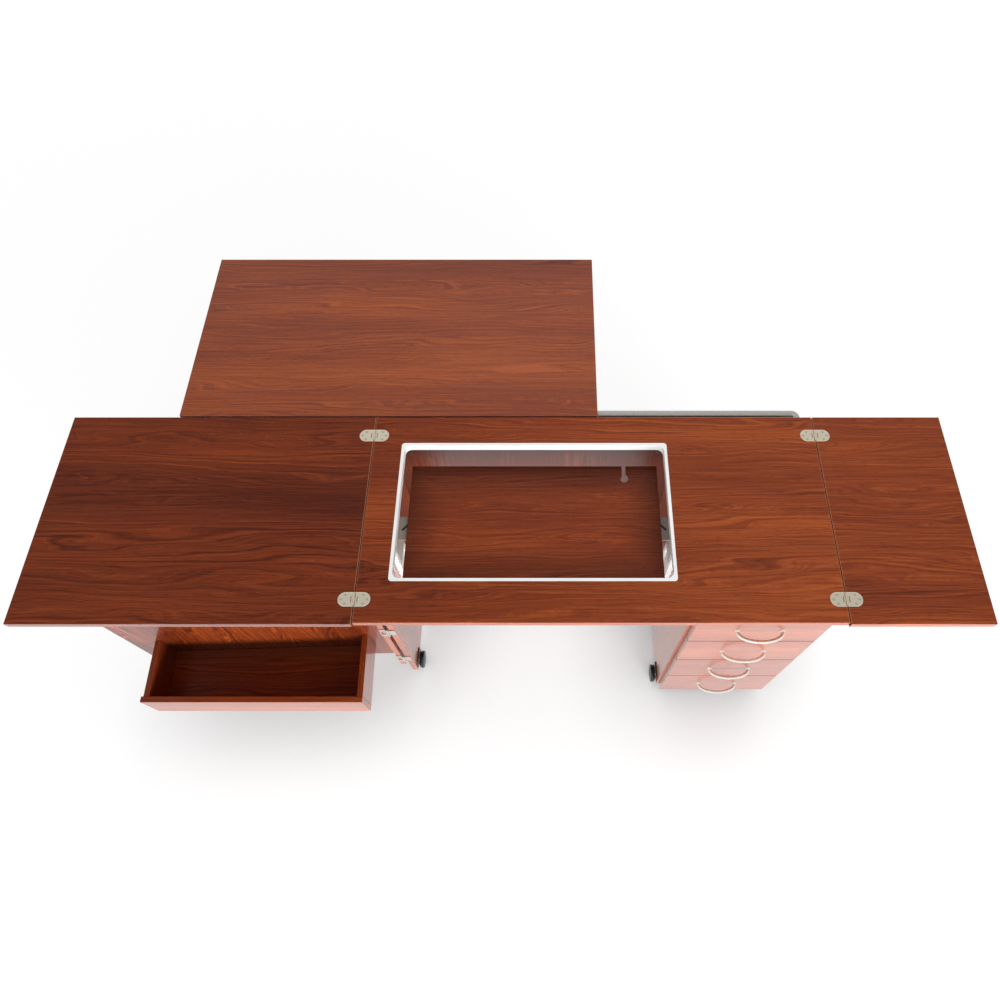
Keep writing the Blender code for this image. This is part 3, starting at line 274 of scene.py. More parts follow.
def melamine(board, grain, look):
    """Printed wood melamine: a paper print under clear resin, pressed smooth. The eye gets long flame
    figures in thin lines, fine fibres and short pores under a gloss that mirrors pale things at a
    slant. Level faces are rubbed duller than standing ones. grain is the light, mid and dark colour.

    The place across the grain is the sum of the two axes square to it, so a board's edges are lined
    along the grain too."""
    made, tree, place = new_material(board.name)
    shifted = add(tree, "ShaderNodeVectorMath", {0: place, 1: board.shift}, operation="ADD").outputs[0]
    along = add(tree, "ShaderNodeSeparateXYZ", {0: shifted}).outputs[board.along]
    feeds = {0: shifted, 1: [float(axis != board.along) for axis in "XYZ"]}
    across = add(tree, "ShaderNodeVectorMath", feeds, operation="DOT_PRODUCT").outputs["Value"]
    noises = print_noises(tree, along, across, look)

    # A noise is a half on average, so the start puts the average of the sum at a half plus the tone
    value = board.tone + 0.5 - 0.5 * (BAND_SHARE + FIBRE_SHARE + board.figure)
    for part, share in (("bands", BAND_SHARE), ("fibres", FIBRE_SHARE), ("lines", board.figure)):
        feeds = {0: noises[part], 1: share, 2: value}
        value = add(tree, "ShaderNodeMath", feeds, operation="MULTIPLY_ADD").outputs[0]
    colour = add(tree, "ShaderNodeValToRGB", {0: value}, list(zip(GRAIN_STOPS, grain))).outputs[0]
    dashes = add(tree, "ShaderNodeValToRGB", {0: noises["pores"]}, PORE_STOPS).outputs[0]
    feeds = {"Factor": 1.0, 6: colour, 7: dashes}
    finish = add(tree, "ShaderNodeMix", feeds, data_type="RGBA", blend_type="MULTIPLY").outputs[2]

    upwards = add(tree, "ShaderNodeSeparateXYZ", {0: place.node.outputs["Normal"]}).outputs["Z"]
    level = add(tree, "ShaderNodeMath", {0: upwards}, operation="ABSOLUTE").outputs[0]
    coat = board.gloss.standing
    if board.worn:
        # Painted highlight and painted shade along a fold: the level face is painted pale where light
        # catches the fold's edge, and the standing face is painted dark as the shaded gap, with no coat
        feeds = {0: edge_distance(tree, place, board.nodes[0])["X"], 1: look.painted_fold_width}
        fold = add(tree, "ShaderNodeMath", feeds, operation="LESS_THAN").outputs[0]
        feeds = {0: fold, 1: -board.gloss.standing, 2: board.gloss.standing}
        coat = add(tree, "ShaderNodeMath", feeds, operation="MULTIPLY_ADD").outputs[0]
        feeds = {"Factor": level, 6: opaque(grain[-1]), 7: opaque(look.worn)}
        edge = add(tree, "ShaderNodeMix", feeds, data_type="RGBA").outputs[2]
        share = add(tree, "ShaderNodeMath", {0: fold, 1: board.worn}, operation="MULTIPLY").outputs[0]
        feeds = {"Factor": share, 6: finish, 7: edge}
        finish = add(tree, "ShaderNodeMix", feeds, data_type="RGBA").outputs[2]
    # Painted shade: the well's walls would shade the platform's border, so its print is darkened there
    if board.border:
        # The platform is darker towards its edges, as in the photo
        inside = edge_distance(tree, place, board.nodes[0])
        feeds = {0: inside["X"], 1: inside["Y"]}
        nearest = add(tree, "ShaderNodeMath", feeds, operation="MINIMUM").outputs[0]
        feeds = {"Value": nearest, "From Max": look.border, "To Min": board.border, "To Max": 0.0}
        share = add(tree, "ShaderNodeMapRange", feeds, interpolation_type="SMOOTHSTEP").outputs[0]
        feeds = {"Factor": share, 6: finish, 7: opaque(grey(0.0))}
        finish = add(tree, "ShaderNodeMix", feeds, data_type="RGBA").outputs[2]
    if board.dull:
        # The uprights shine at the front and are duller towards the back, as in the photo
        depth = add(tree, "ShaderNodeSeparateXYZ", {0: place}).outputs["Y"]
        feeds = {"Value": depth, "From Min": DULL_FROM, "From Max": DULL_TO}
        feeds.update({"To Min": board.gloss.standing, "To Max": board.dull})
        coat = add(tree, "ShaderNodeMapRange", feeds).outputs[0]
    coat = add(tree, "ShaderNodeMix", {0: level, 2: coat, 3: board.gloss.level}).outputs[0]
    feeds = {0: noises["fibres"], 1: FIBRE_ROUGH_RANGE, 2: FIBRE_ROUGH}
    rough = add(tree, "ShaderNodeMath", feeds, operation="MULTIPLY_ADD").outputs[0]
    feeds = {"Strength": 0.05, "Distance": 0.2 * MM, "Height": noises["fibres"]}
    bump = add(tree, "ShaderNodeBump", feeds).outputs[0]
    feeds = {
        "Base Color": finish,
        "Roughness": rough,
        "Normal": bump,
        "IOR": RESIN_IOR,
        "Specular IOR Level": board.gloss.base,
        "Coat Weight": coat,
        "Coat Roughness": board.gloss.rough,
        "Coat IOR": board.gloss.ior,
    }
    close_material(tree, add(tree, "ShaderNodeBsdfPrincipled", feeds))
    return made


METAL_ROUGH = 0.24
METAL_ROUGH_RANGE = 0.22
METAL_MOTTLE = 0.84
PEEL_ROUGH_RANGE = 0.16
PLASTIC_CLOUD = 71 * MM
PLASTIC_SHADE = 0.9


def satin_metal(name, colour, brush_mm, grit_mm):
    """Plated or drawn metal, brushed along one axis: fine parallel lines, uneven in roughness, with
    a faint mottle of handling. brush_mm is a line's size on each axis, long along the lines. Real
    lines are under 0.1 mm across, so they are drawn some times coarser to show."""
    made, tree, place = new_material(name)
    feeds = {0: place, 1: [1 / (size * MM) for size in brush_mm]}
    stretched = add(tree, "ShaderNodeVectorMath", feeds, operation="MULTIPLY").outputs[0]
    feeds = {"Vector": stretched, "Scale": 1.0, "Detail": 2.0}
    lines = add(tree, "ShaderNodeTexNoise", feeds).outputs["Fac"]
    feeds = {"Vector": place, "Scale": 1.0 / (grit_mm * MM), "Detail": 3.0}
    mottle = add(tree, "ShaderNodeTexNoise", feeds).outputs["Fac"]
    stops = [(0.3, [value * METAL_MOTTLE for value in colour]), (0.65, colour)]
    tint = add(tree, "ShaderNodeValToRGB", {0: mottle}, stops).outputs[0]
    feeds = {0: lines, 1: METAL_ROUGH_RANGE, 2: METAL_ROUGH}
    rough = add(tree, "ShaderNodeMath", feeds, operation="MULTIPLY_ADD").outputs[0]
    feeds = {"Strength": 0.12, "Distance": 0.1 * MM, "Height": lines}
    bump = add(tree, "ShaderNodeBump", feeds).outputs[0]
    feeds = {"Base Color": tint, "Metallic": 1.0, "Roughness": rough, "Normal": bump}
    close_material(tree, add(tree, "ShaderNodeBsdfPrincipled", feeds))
    return made


def grained_plastic(name, colour, roughness, grit_mm, bump_strength, coat):
    """Moulded plastic or powder coat: an even colour with a fine orange peel, a little cloudy, and
    duller where the peel is coarse."""
    made, tree, place = new_material(name)
    feeds = {"Vector": place, "Scale": 1.0 / (grit_mm * MM), "Detail": 2.0}
    peel = add(tree, "ShaderNodeTexNoise", feeds).outputs["Fac"]
    feeds = {"Vector": place, "Scale": 1.0 / PLASTIC_CLOUD, "Detail": 2.0}
    cloud = add(tree, "ShaderNodeTexNoise", feeds).outputs["Fac"]
    stops = [(0.3, [value * PLASTIC_SHADE for value in colour]), (0.7, colour)]
    tint = add(tree, "ShaderNodeValToRGB", {0: cloud}, stops).outputs[0]
    feeds = {0: peel, 1: PEEL_ROUGH_RANGE, 2: roughness - PEEL_ROUGH_RANGE / 2}
    rough = add(tree, "ShaderNodeMath", feeds, operation="MULTIPLY_ADD").outputs[0]
    feeds = {"Strength": bump_strength, "Distance": 0.15 * MM, "Height": peel}
    bump = add(tree, "ShaderNodeBump", feeds).outputs[0]
    feeds = {"Base Color": tint, "Roughness": rough, "Normal": bump, "IOR": RESIN_IOR, "Coat Weight": coat}
    close_material(tree, add(tree, "ShaderNodeBsdfPrincipled", feeds))
    return made


def clothe(names, material):
    for name in names:
        mesh = frame["nodes"][name].data
        mesh.materials.clear()
        mesh.materials.append(material)


# Surfaces


def surface(name, grids, body, material, sharp=30.0):
    """One piece from closed grids of points, each rows by columns by three. Columns wrap round, and
    rows that shrink to a point close the ends."""
    points, faces, base = [], [], 0
    for grid in grids:
        rows, columns = grid.shape[:2]
        index = base + np.arange(rows * columns).reshape(rows, columns)
        index = np.concatenate([index, index[:, :1]], axis=1)
        quads = np.stack([index[:-1, :-1], index[:-1, 1:], index[1:, 1:], index[1:, :-1]], axis=-1)
        points.append(grid.reshape(-1, 3))
        faces.append(quads.reshape(-1, 4))
        base += rows * columns
    mesh = bpy.data.meshes.new(name)
    mesh.from_pydata(np.concatenate(points).tolist(), [], np.concatenate(faces).tolist())
    shape = bmesh.new()
    shape.from_mesh(mesh)
    bmesh.ops.remove_doubles(shape, verts=shape.verts, dist=1e-6)
    bmesh.ops.recalc_face_normals(shape, faces=shape.faces)
    shape.to_mesh(mesh)
    shape.free()
    mesh.shade_smooth()
    mesh.set_sharp_from_angle(angle=math.radians(sharp))
    mesh.materials.append(material)
    made = bpy.data.objects.new(name, mesh)
    bpy.context.scene.collection.objects.link(made)
    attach(made, body)
    return made


def square_to(axis):
    """The axis as a unit vector, and two unit vectors square to it and to each other."""
    axis = np.array(axis, float) / np.linalg.norm(axis)
    helper = np.eye(3)[np.argmin(np.abs(axis))]
    first = np.cross(axis, helper)
    first /= np.linalg.norm(first)
    return axis, first, np.cross(axis, first)


def turned(profile, middle, axis, steps):
    """A profile of (radius, height) turned about an axis through middle."""
    axis, first, second = square_to(axis)
    radius, height = np.array(profile, float).T
    angle = np.linspace(0, TURN, steps, endpoint=False)
    ring = np.cos(angle)[:, None] * first + np.sin(angle)[:, None] * second
    return np.array(middle) + radius[:, None, None] * ring + height[:, None, None] * axis


# Rings of a screw head's grid as shares of its radius: out over the dome, down the side and back in
HEAD_RINGS = np.array([0.0, 0.06, 0.12, 0.2, 0.3, 0.4, 0.5, 0.56, 0.62, 0.8, 0.92, 1.0, 1.0, 0.0])
HEAD_STEPS = 48
# Shares of the radius: half a recess arm's width and its length, each with the width of its soft edge
ARM_WIDE, ARM_WIDE_SOFT = 0.16, 0.06
ARM_LONG, ARM_LONG_SOFT = 0.58, 0.08
# Shares of the rise: how far the dome falls to its rim, and how deep the recess is
DOME_FALL = 0.55
RECESS_DEEP = 0.75


def screw_head(middle, axis, across, rise):
    """A countersunk head with a cross recess: a flat dome whose height drops, by a smooth step, where
    a point lies near one of two crossed lines and not too far from the middle."""
    axis, first, second = square_to(axis)
    half = across / 2
    radius = half * HEAD_RINGS
    angle = np.linspace(0, TURN, HEAD_STEPS, endpoint=False)
    x, y = radius[:, None] * np.cos(angle), radius[:, None] * np.sin(angle)
    near = np.minimum(np.abs(x), np.abs(y)) / half
    far = np.maximum(np.abs(x), np.abs(y)) / half
    in_arm = np.clip((ARM_WIDE - near) / ARM_WIDE_SOFT, 0, 1)
    in_reach = np.clip((ARM_LONG - far) / ARM_LONG_SOFT, 0, 1)
    recess = in_arm * in_reach
    height = rise * (1 - DOME_FALL * (radius / half) ** 2)[:, None] - RECESS_DEEP * rise * recess
    height[-2:] = 0.0
    return np.array(middle) + x[..., None] * first + y[..., None] * second + height[..., None] * axis


def arch(half_wide, rise):
    """Half an ellipse as a section of (outwards, upwards)."""
    angle = np.linspace(0, math.pi, 9)
    return np.stack([np.cos(angle) * half_wide, np.sin(angle) * rise], axis=1)


def swept(path, normals, section, up):
    """A closed section of (outwards, upwards) carried along a flat path, its ends shut."""
    grid = path[:, None] + section[:, :1] * normals[:, None] + section[:, 1:] * np.array(up, float)
    middle = grid[[0, -1]].mean(axis=1, keepdims=True).repeat(grid.shape[1], axis=1)
    return np.concatenate([middle[:1], grid, middle[1:]])


# The boards and their prints

# A board's shine: specular level under the coat, coat on level and on standing faces, and the coat's
# roughness and IOR. The IORs above a resin's 1.5 give the photo's strong pale sheen.
Gloss = namedtuple("Gloss", "base level standing rough ior")
FLAT_GLOSS = Gloss(0.1, 0.12, 1.0, 0.25, 1.55)
SHEEN_GLOSS = Gloss(0.2, 0.35, 1.0, 0.25, 1.55)
UPRIGHT_GLOSS = Gloss(0.1, 0.12, 0.8, 0.15, 1.85)
FRONT_GLOSS = Gloss(0.1, 0.12, 1.0, 0.2, 2.0)
BACK_GLOSS = Gloss(0.1, 0.12, 0.85, 0.2, 1.65)
DOOR_GLOSS = Gloss(0.2, 0.12, 0.4, 0.12, 1.6)

# A board's print: material, nodes, axis of the grain, stretch of the print as a shift, gloss, how much
# darker it is than the mid grain, how strong its growth lines are, and, as shares, how strong the
# painted highlight and painted shade along its folds are, how dark the painted shade on its border is
# and how much coat is left at the back
Board = namedtuple(
    "Board",
    "name nodes along shift gloss tone figure worn border dull",
    defaults=(0.0, 0.8, 0.0, 0.0, 0.0),
)
DRAWER_FRONTS = tuple(f"drawer_{number}_front" for number in DRAWERS)
DRAWER_BOXES = tuple(f"drawer_{number}_box" for number in DRAWERS)
UPRIGHTS = ("left_support_panel", "pedestal_left_side", "pedestal_right_side", "door_hinge_board")
BIN_SIDES = ("bin_left_side", "bin_right_side")
FLOORS = ("bin_bottom", "pedestal_bottom")
BOARDS = (
    Board("cherry_melamine_centre_top", ("centre_top",), "X", (0.0, 0.0, 0.0), FLAT_GLOSS, worn=0.7),
    # The left leaf's darker tone is painted shade, for the light that falls off towards the left
    Board("cherry_melamine_left_leaf", ("left_leaf",), "X", (3.7, 1.33, 0.0), FLAT_GLOSS, 0.14, worn=0.7),
    Board("cherry_melamine_right_leaf", ("right_leaf",), "X", (-5.2, 0.61, 0.0), FLAT_GLOSS, worn=0.7),
    Board("cherry_melamine_quilt_leaf", ("quilt_leaf",), "X", (8.4, -2.27, 0.0), SHEEN_GLOSS, -0.02),
    Board(
        "cherry_melamine_platform",
        ("machine_platform",),
        "X",
        (-9.1, 3.14, 0.0),
        FLAT_GLOSS,
        0.04,
        0.65,
        border=0.45,
    ),
    Board("cherry_melamine_drawer_fronts", DRAWER_FRONTS, "X", (2.9, 0.0, 4.4), FRONT_GLOSS, 0.03, 0.45),
    Board("cherry_melamine_uprights", UPRIGHTS, "Z", (0.0, 2.2, 6.3), UPRIGHT_GLOSS, -0.16, 0.65, dull=0.12),
    # The back panel's darker tone is painted shade, for the shade in the kneehole under the top
    Board("cherry_melamine_back_panel", ("back_panel",), "Z", (5.5, 0.0, 1.9), BACK_GLOSS, 0.34, 0.25),
    Board("cherry_melamine_door", ("door_panel",), "Z", (-3.3, 0.0, 7.7), DOOR_GLOSS, 0.16, 1.7),
    Board("cherry_melamine_bin_front", ("bin_front",), "X", (6.6, 0.0, -1.2), UPRIGHT_GLOSS, -0.06, 0.5),
    Board("cherry_melamine_bin_sides", BIN_SIDES, "Y", (0.0, 4.8, 2.6), UPRIGHT_GLOSS),
    Board("cherry_melamine_floors", FLOORS, "X", (1.7, 7.2, 0.0), FLAT_GLOSS, 0.12),
)
BOX_BOARD = Board("drawer_box_melamine", DRAWER_BOXES, "Y", (0.0, 2.1, 3.5), FLAT_GLOSS)

NICKEL = "satin_nickel_plate"
BRIGHT_NICKEL = "bright_nickel_plate"
ZINC = "bright_zinc_plate"
# Partly painted shade: the leaf screws' steel is darkened for the shade in their recesses
SCREW_STEEL = "dull_screw_steel"
TUBE = "drawn_steel_tube"
WHITE_PAINT = "white_powder_coat"
TAUPE_PAINT = "taupe_powder_coat"
LINER = "moulded_white_abs"
BLACK_NYLON = "moulded_black_nylon"
WHITE_NYLON = "moulded_white_nylon"


class CABINET_OT_dress_boards(bpy.types.Operator):
    """Gives every board its stretch of the cherry print"""

    bl_idname = "cabinet.dress_boards"
    bl_label = "Dress the boards"

    def execute(self, context):
        look = context.scene.cabinet_melamine
        for board in BOARDS:
            clothe(board.nodes, melamine(board, (look.light, look.mid, look.dark), look))
        box_mid = [(a + b) / 2 for a, b in zip(look.box_light, look.box_dark)]
        clothe(BOX_BOARD.nodes, melamine(BOX_BOARD, (look.box_light, box_mid, look.box_dark), look))
        return {"FINISHED"}


class CABINET_OT_dress_hardware(bpy.types.Operator):
    """Gives the metal and plastic parts their finishes"""

    bl_idname = "cabinet.dress_hardware"
    bl_label = "Dress the hardware"

    def execute(self, context):
        look = context.scene.cabinet_hardware
        bright = satin_metal(BRIGHT_NICKEL, look.handle, (1.4, 1.4, 1.4), 3.0)
        zinc = satin_metal(ZINC, look.zinc, (1.1, 1.1, 1.1), 2.0)
        satin_metal(SCREW_STEEL, look.screw_steel, (1.1, 1.1, 1.1), 2.0)
        finishes = {
            "satin_nickel": satin_metal(NICKEL, look.nickel, (6.25, 0.42, 0.42), 1.2),
            "grey_tube": satin_metal(TUBE, look.tube, (83.0, 0.67, 0.67), 6.0),
            "white_steel": grained_plastic(WHITE_PAINT, look.white_paint, 0.42, 0.9, 0.15, 0.2),
            "taupe_steel": grained_plastic(TAUPE_PAINT, look.taupe_paint, 0.45, 0.9, 0.2, 0.1),
            "white_abs": grained_plastic(LINER, look.liner, 0.36, 0.7, 0.06, 0.3),
            "black_nylon": grained_plastic(BLACK_NYLON, look.black_nylon, 0.42, 0.8, 0.2, 0.2),
            "white_nylon": grained_plastic(WHITE_NYLON, look.white_nylon, 0.5, 0.8, 0.15, 0.0),
        }
        for part in frame["record"]["subparts"]:
            if part["material_slot"] in finishes:
                clothe([part["node"]], finishes[part["material_slot"]])
        for number in DOOR_HINGES:
            clothe([f"door_hinge_{number}_{half}" for half in ("fixed", "moving")], zinc)
        clothe([f"drawer_{number}_handle" for number in DRAWERS], bright)
        return {"FINISHED"}


# Fittings

HINGE_SCREW_RISE = 0.5 * MM
# Places of a leaf hinge's screws: shares of a half's reach and of half its width
LEAF_SCREW_SPOTS = ((0.79, 0.0), (0.55, 0.62), (0.55, -0.62))
# Where a raised border runs: its gap to the plate's edge, and where it starts beside the crease
BORDER_GAP = 0.2 * MM
BORDER_START = 1.0 * MM


def leaf_hinge_halves():
    """Each half of each leaf hinge: its node, its body, its way out from the crease, the middle of the
    crease, and the half's box."""
    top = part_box("centre_top")[1].z
    for side, outwards in (("left", -1), ("right", 1)):
        for end in ("front", "back"):
            name = f"{side}_leaf_hinge_{end}"
            fixed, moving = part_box(name + "_fixed"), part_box(name + "_moving")
            crease = (max(fixed[0].x, moving[0].x) + min(fixed[1].x, moving[1].x)) / 2
            middle = np.array((crease, (fixed[0].y + fixed[1].y) / 2, top))
            yield name + "_fixed", "cabinet", -outwards, middle, fixed
            yield name + "_moving", f"{side}_leaf", outwards, middle, moving


class CABINET_OT_leaf_hinge_fittings(bpy.types.Operator):
    """Adds the raised border and the three screws of each half of a leaf hinge"""

    bl_idname = "cabinet.leaf_hinge_fittings"
    bl_label = "Leaf hinge borders and screws"

    def execute(self, context):
        look = context.scene.cabinet_hardware
        nickel, steel = bpy.data.materials[NICKEL], bpy.data.materials[SCREW_STEEL]
        section = arch(look.rim / 2, look.rim_height)
        for name, body, way, middle, (low, high) in leaf_hinge_halves():
            half_wide = (high.y - low.y) / 2
            reach = max(abs(high.x - middle[0]), abs(middle[0] - low.x))
            spots = [middle + (way * reach * far, half_wide * out, 0.0) for far, out in LEAF_SCREW_SPOTS]
            heads = [screw_head(spot, UP, look.screw, HINGE_SCREW_RISE) for spot in spots]
            surface(name + "_screws", heads, body, steel)
            bend = half_wide - look.rim / 2 - BORDER_GAP
            path, normals = self.edge(way, middle, bend, reach - half_wide)
            surface(name + "_border", [swept(path, normals, section, UP)], body, nickel)
        return {"FINISHED"}

    def edge(self, way, middle, bend, centre):
        """Half a stadium: out along one straight, round half a circle, and back along the other."""
        angle = np.linspace(-math.pi / 2, math.pi / 2, 25)
        x = np.concatenate([[BORDER_START], centre + bend * np.cos(angle), [BORDER_START]])
        y = np.concatenate([[-bend], bend * np.sin(angle), [bend]])
        out_x = np.concatenate([[0.0], np.cos(angle), [0.0]])
        out_y = np.concatenate([[-1.0], np.sin(angle), [1.0]])
        zero = np.zeros_like(x)
        path = middle + np.stack([way * x, y, zero], axis=1)
        return path, np.stack([way * out_x, out_y, zero], axis=1)


# Heights of a door hinge's screws, as shares of half its height
FIXED_SCREWS = 0.58
MOVING_SCREWS = 0.76
FACES_FRONT = -0.99
ON_FACE = 1e-5


class CABINET_OT_door_hinge_screws(bpy.types.Operator):
    """Adds two screws to each leaf of each door hinge"""

    bl_idname = "cabinet.door_hinge_screws"
    bl_label = "Door hinge screws"

    def execute(self, context):
        look = context.scene.cabinet_hardware
        zinc = bpy.data.materials[ZINC]
        for number in DOOR_HINGES:
            for half, body, out in (("fixed", "cabinet", FIXED_SCREWS), ("moving", "door", MOVING_SCREWS)):
                node = f"door_hinge_{number}_{half}"
                heads = self.heads(node, out, look.door_screw)
                surface(node + "_screws", heads, body, zinc)
        return {"FINISHED"}

    def heads(self, node, out, across):
        """Two heads on the leaf's front face, above and below its middle. The face is the largest one
        that looks forwards, since the door stands a little ajar."""
        mesh = frame["nodes"][node].data
        points = np.empty(3 * len(mesh.vertices), np.float32)
        normals = np.empty(3 * len(mesh.polygons), np.float32)
        areas = np.empty(len(mesh.polygons), np.float32)
        starts = np.empty(len(mesh.polygons), np.int32)
        corners = np.empty(len(mesh.loops), np.int32)
        mesh.vertices.foreach_get("co", points)
        mesh.polygons.foreach_get("normal", normals)
        mesh.polygons.foreach_get("area", areas)
        mesh.polygons.foreach_get("loop_start", starts)
        mesh.loops.foreach_get("vertex_index", corners)
        points = points.reshape(-1, 3).astype(float)
        normals = normals.reshape(-1, 3).astype(float)
        facing = np.where(normals[:, 1] < FACES_FRONT, areas, 0.0)
        face = np.argmax(facing)
        if not facing[face]:
            raise RuntimeError(f"{node} has no face that looks forwards")
        half_tall = np.ptp(points[:, 2]) / 2
        middle_z = points[:, 2].min() + half_tall
        off_face = (points - points[corners[starts[face]]]) @ normals[face]
        flat = points[np.abs(off_face) < ON_FACE]
        along = (flat[:, 0].min() + flat[:, 0].max()) / 2
        face_y = flat[np.argmin(np.abs(flat[:, 0] - along)), 1]
        spots = [(along, face_y, middle_z + way * half_tall * out) for way in (-1, 1)]
        return [screw_head(spot, normals[face], across, HINGE_SCREW_RISE) for spot in spots]


FOOT_RISE = 5.5 * MM
# A foot is this much wider than the rod at its top, and that much more at its base
FOOT_TOP = 1.03
FOOT_FLARE = 0.5
FOOT_CURVE = 2.5


class CABINET_OT_handle_feet(bpy.types.Operator):
    """Adds the flared feet on which each bow handle stands"""

    bl_idname = "cabinet.handle_feet"
    bl_label = "Handle feet"

    def execute(self, context):
        nickel = bpy.data.materials[BRIGHT_NICKEL]
        height = np.linspace(0, 1, 9)
        for number in DRAWERS:
            low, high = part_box(f"drawer_{number}_handle")
            rod = (high.z - low.z) / 2
            flare = rod * (FOOT_TOP + FOOT_FLARE * (1 - height) ** FOOT_CURVE)
            profile = [(0.0, 0.0), *zip(flare, height * FOOT_RISE), (0.0, FOOT_RISE)]
            spots = [(x, high.y, (low.z + high.z) / 2) for x in (low.x + rod, high.x - rod)]
            feet = [turned(profile, spot, FORWARDS, 32) for spot in spots]
            surface(f"drawer_{number}_handle_feet", feet, f"drawer_{number}", nickel, 50)
        return {"FINISHED"}


# A caster's plate, and its screws: their distance from the middle and from the plate's top edge
PLATE_THICK = 2.5 * MM
PLATE_SCREW = 6.5 * MM
PLATE_SCREW_RISE = 0.9 * MM
PLATE_SCREW_OUT = 14 * MM
PLATE_SCREW_DOWN = 8 * MM
# A wheel: its bore, its sunk hub and the rise of its dome, and shares of its radius
BORE = 4.3 * MM
HUB_SUNK = 0.2 * MM
DOME_RISE = 1.3 * MM
HUB_EDGE = 0.345
DOME_INNER = 0.36
DOME_OUTER = 0.9
# The wheel's rounded rim: shares of the radius, and how far each lies in from the flat face
RIM_STEPS = np.array([(0.96, 0.3 * MM), (0.995, 1.6 * MM)])
# The tread's two grooves, and their steps: shares of half the width, and depth
GROOVES = np.array([0.33, -0.33])
GROOVE_STEPS = np.array([0.16, 0.1, -0.1, -0.16])
GROOVE_DEPTHS = np.array([0.0, 0.7, 0.7, 0.0]) * MM


class CABINET_OT_caster_wheels(bpy.types.Operator):
    """Puts moulded wheels with a domed hub and a grooved tread over the plain ones, with plate screws"""

    bl_idname = "cabinet.caster_wheels"
    bl_label = "Caster wheels"

    def execute(self, context):
        nylon = bpy.data.materials[BLACK_NYLON]
        zinc = bpy.data.materials[ZINC]
        for end in ("front", "back"):
            for label, inwards in (("left", 1), ("right", -1)):
                name = f"caster_{end}_{label}"
                axle = (inwards, 0, 0)
                low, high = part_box(name + "_wheel")
                middle, radius = (low + high) / 2, (high.z - low.z) / 2
                grid = turned(self.profile(radius, (high.x - low.x) / 2), middle, axle, 64)
                wheel = surface(name + "_moulding", [grid], f"wheel_{end}_{label}", nylon, 40)
                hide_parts(name + "_wheel")
                plate_low, plate_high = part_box(name + "_bracket")
                face = plate_low.x + PLATE_THICK if inwards > 0 else plate_high.x - PLATE_THICK
                rise = plate_high.z - PLATE_SCREW_DOWN
                spots = [(face, middle.y + way * PLATE_SCREW_OUT, rise) for way in (-1, 1)]
                heads = [screw_head(spot, axle, PLATE_SCREW, PLATE_SCREW_RISE) for spot in spots]
                surface(name + "_plate_screws", heads, "cabinet", zinc)
        return {"FINISHED"}

    def profile(self, radius, half):
        """From the bore out over the domed face, whose rise is a quarter wave, round the tread with two
        grooves, and back along the flat face by the plate, as (radius, place along the axle)."""
        dome = np.linspace(DOME_INNER, DOME_OUTER, 12)
        quarter = (dome - DOME_INNER) / (DOME_OUTER - DOME_INNER) * math.pi / 2
        bore = [(BORE, half - HUB_SUNK)]
        hub = [(radius * HUB_EDGE, half - HUB_SUNK)]
        face = np.stack([dome * radius, half + DOME_RISE * np.cos(quarter)], axis=1)
        rim = np.stack([RIM_STEPS[:, 0] * radius, half - RIM_STEPS[:, 1]], axis=1)
        places = np.add.outer(GROOVES, GROOVE_STEPS).ravel() * half
        tread = np.stack([radius - np.tile(GROOVE_DEPTHS, len(GROOVES)), places], axis=1)
        back = rim[::-1] * (1, -1)
        return np.concatenate([bore, hub, face, rim, tread, back, [(BORE, -half)], bore])


# Cam covers: across and rise, their distances from the side boards, and below the platform's top
CAM = 12 * MM
CAM_RISE = 1.6 * MM
CAM_FROM_LEFT = 37 * MM
CAM_FROM_RIGHT = 40 * MM
CAM_DOWN = 18 * MM


class CABINET_OT_panel_fittings(bpy.types.Operator):
    """Adds the two cam fasteners on the back panel, seen down the back corners of the opening"""

    bl_idname = "cabinet.panel_fittings"
    bl_label = "Panel fasteners"

    def execute(self, context):
        nylon = bpy.data.materials[BLACK_NYLON]
        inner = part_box("back_panel")[0].y
        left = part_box("left_support_panel")[1].x + CAM_FROM_LEFT
        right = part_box("pedestal_left_side")[0].x - CAM_FROM_RIGHT
        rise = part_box("machine_platform")[1].z - CAM_DOWN
        cams = [screw_head((x, inner, rise), FORWARDS, CAM, CAM_RISE) for x in (left, right)]
        surface("back_panel_cams", cams, "cabinet", nylon)
        return {"FINISHED"}


# A shade bar, black painted shade for the gap in a lift arm: half its width, its rise, how deep its
# foot is sunk in the arm, half its length on each axis, and its middle's place out from the platform
# and back from the arm's middle
SHADE_BAR_WIDE = 2.8 * MM
SHADE_BAR_RISE = 1.2 * MM
SHADE_BAR_SUNK = 0.3 * MM
SHADE_BAR_REACH = 6.5 * MM
SHADE_BAR_OUT = 8.0 * MM
SHADE_BAR_BACK = 2 * MM


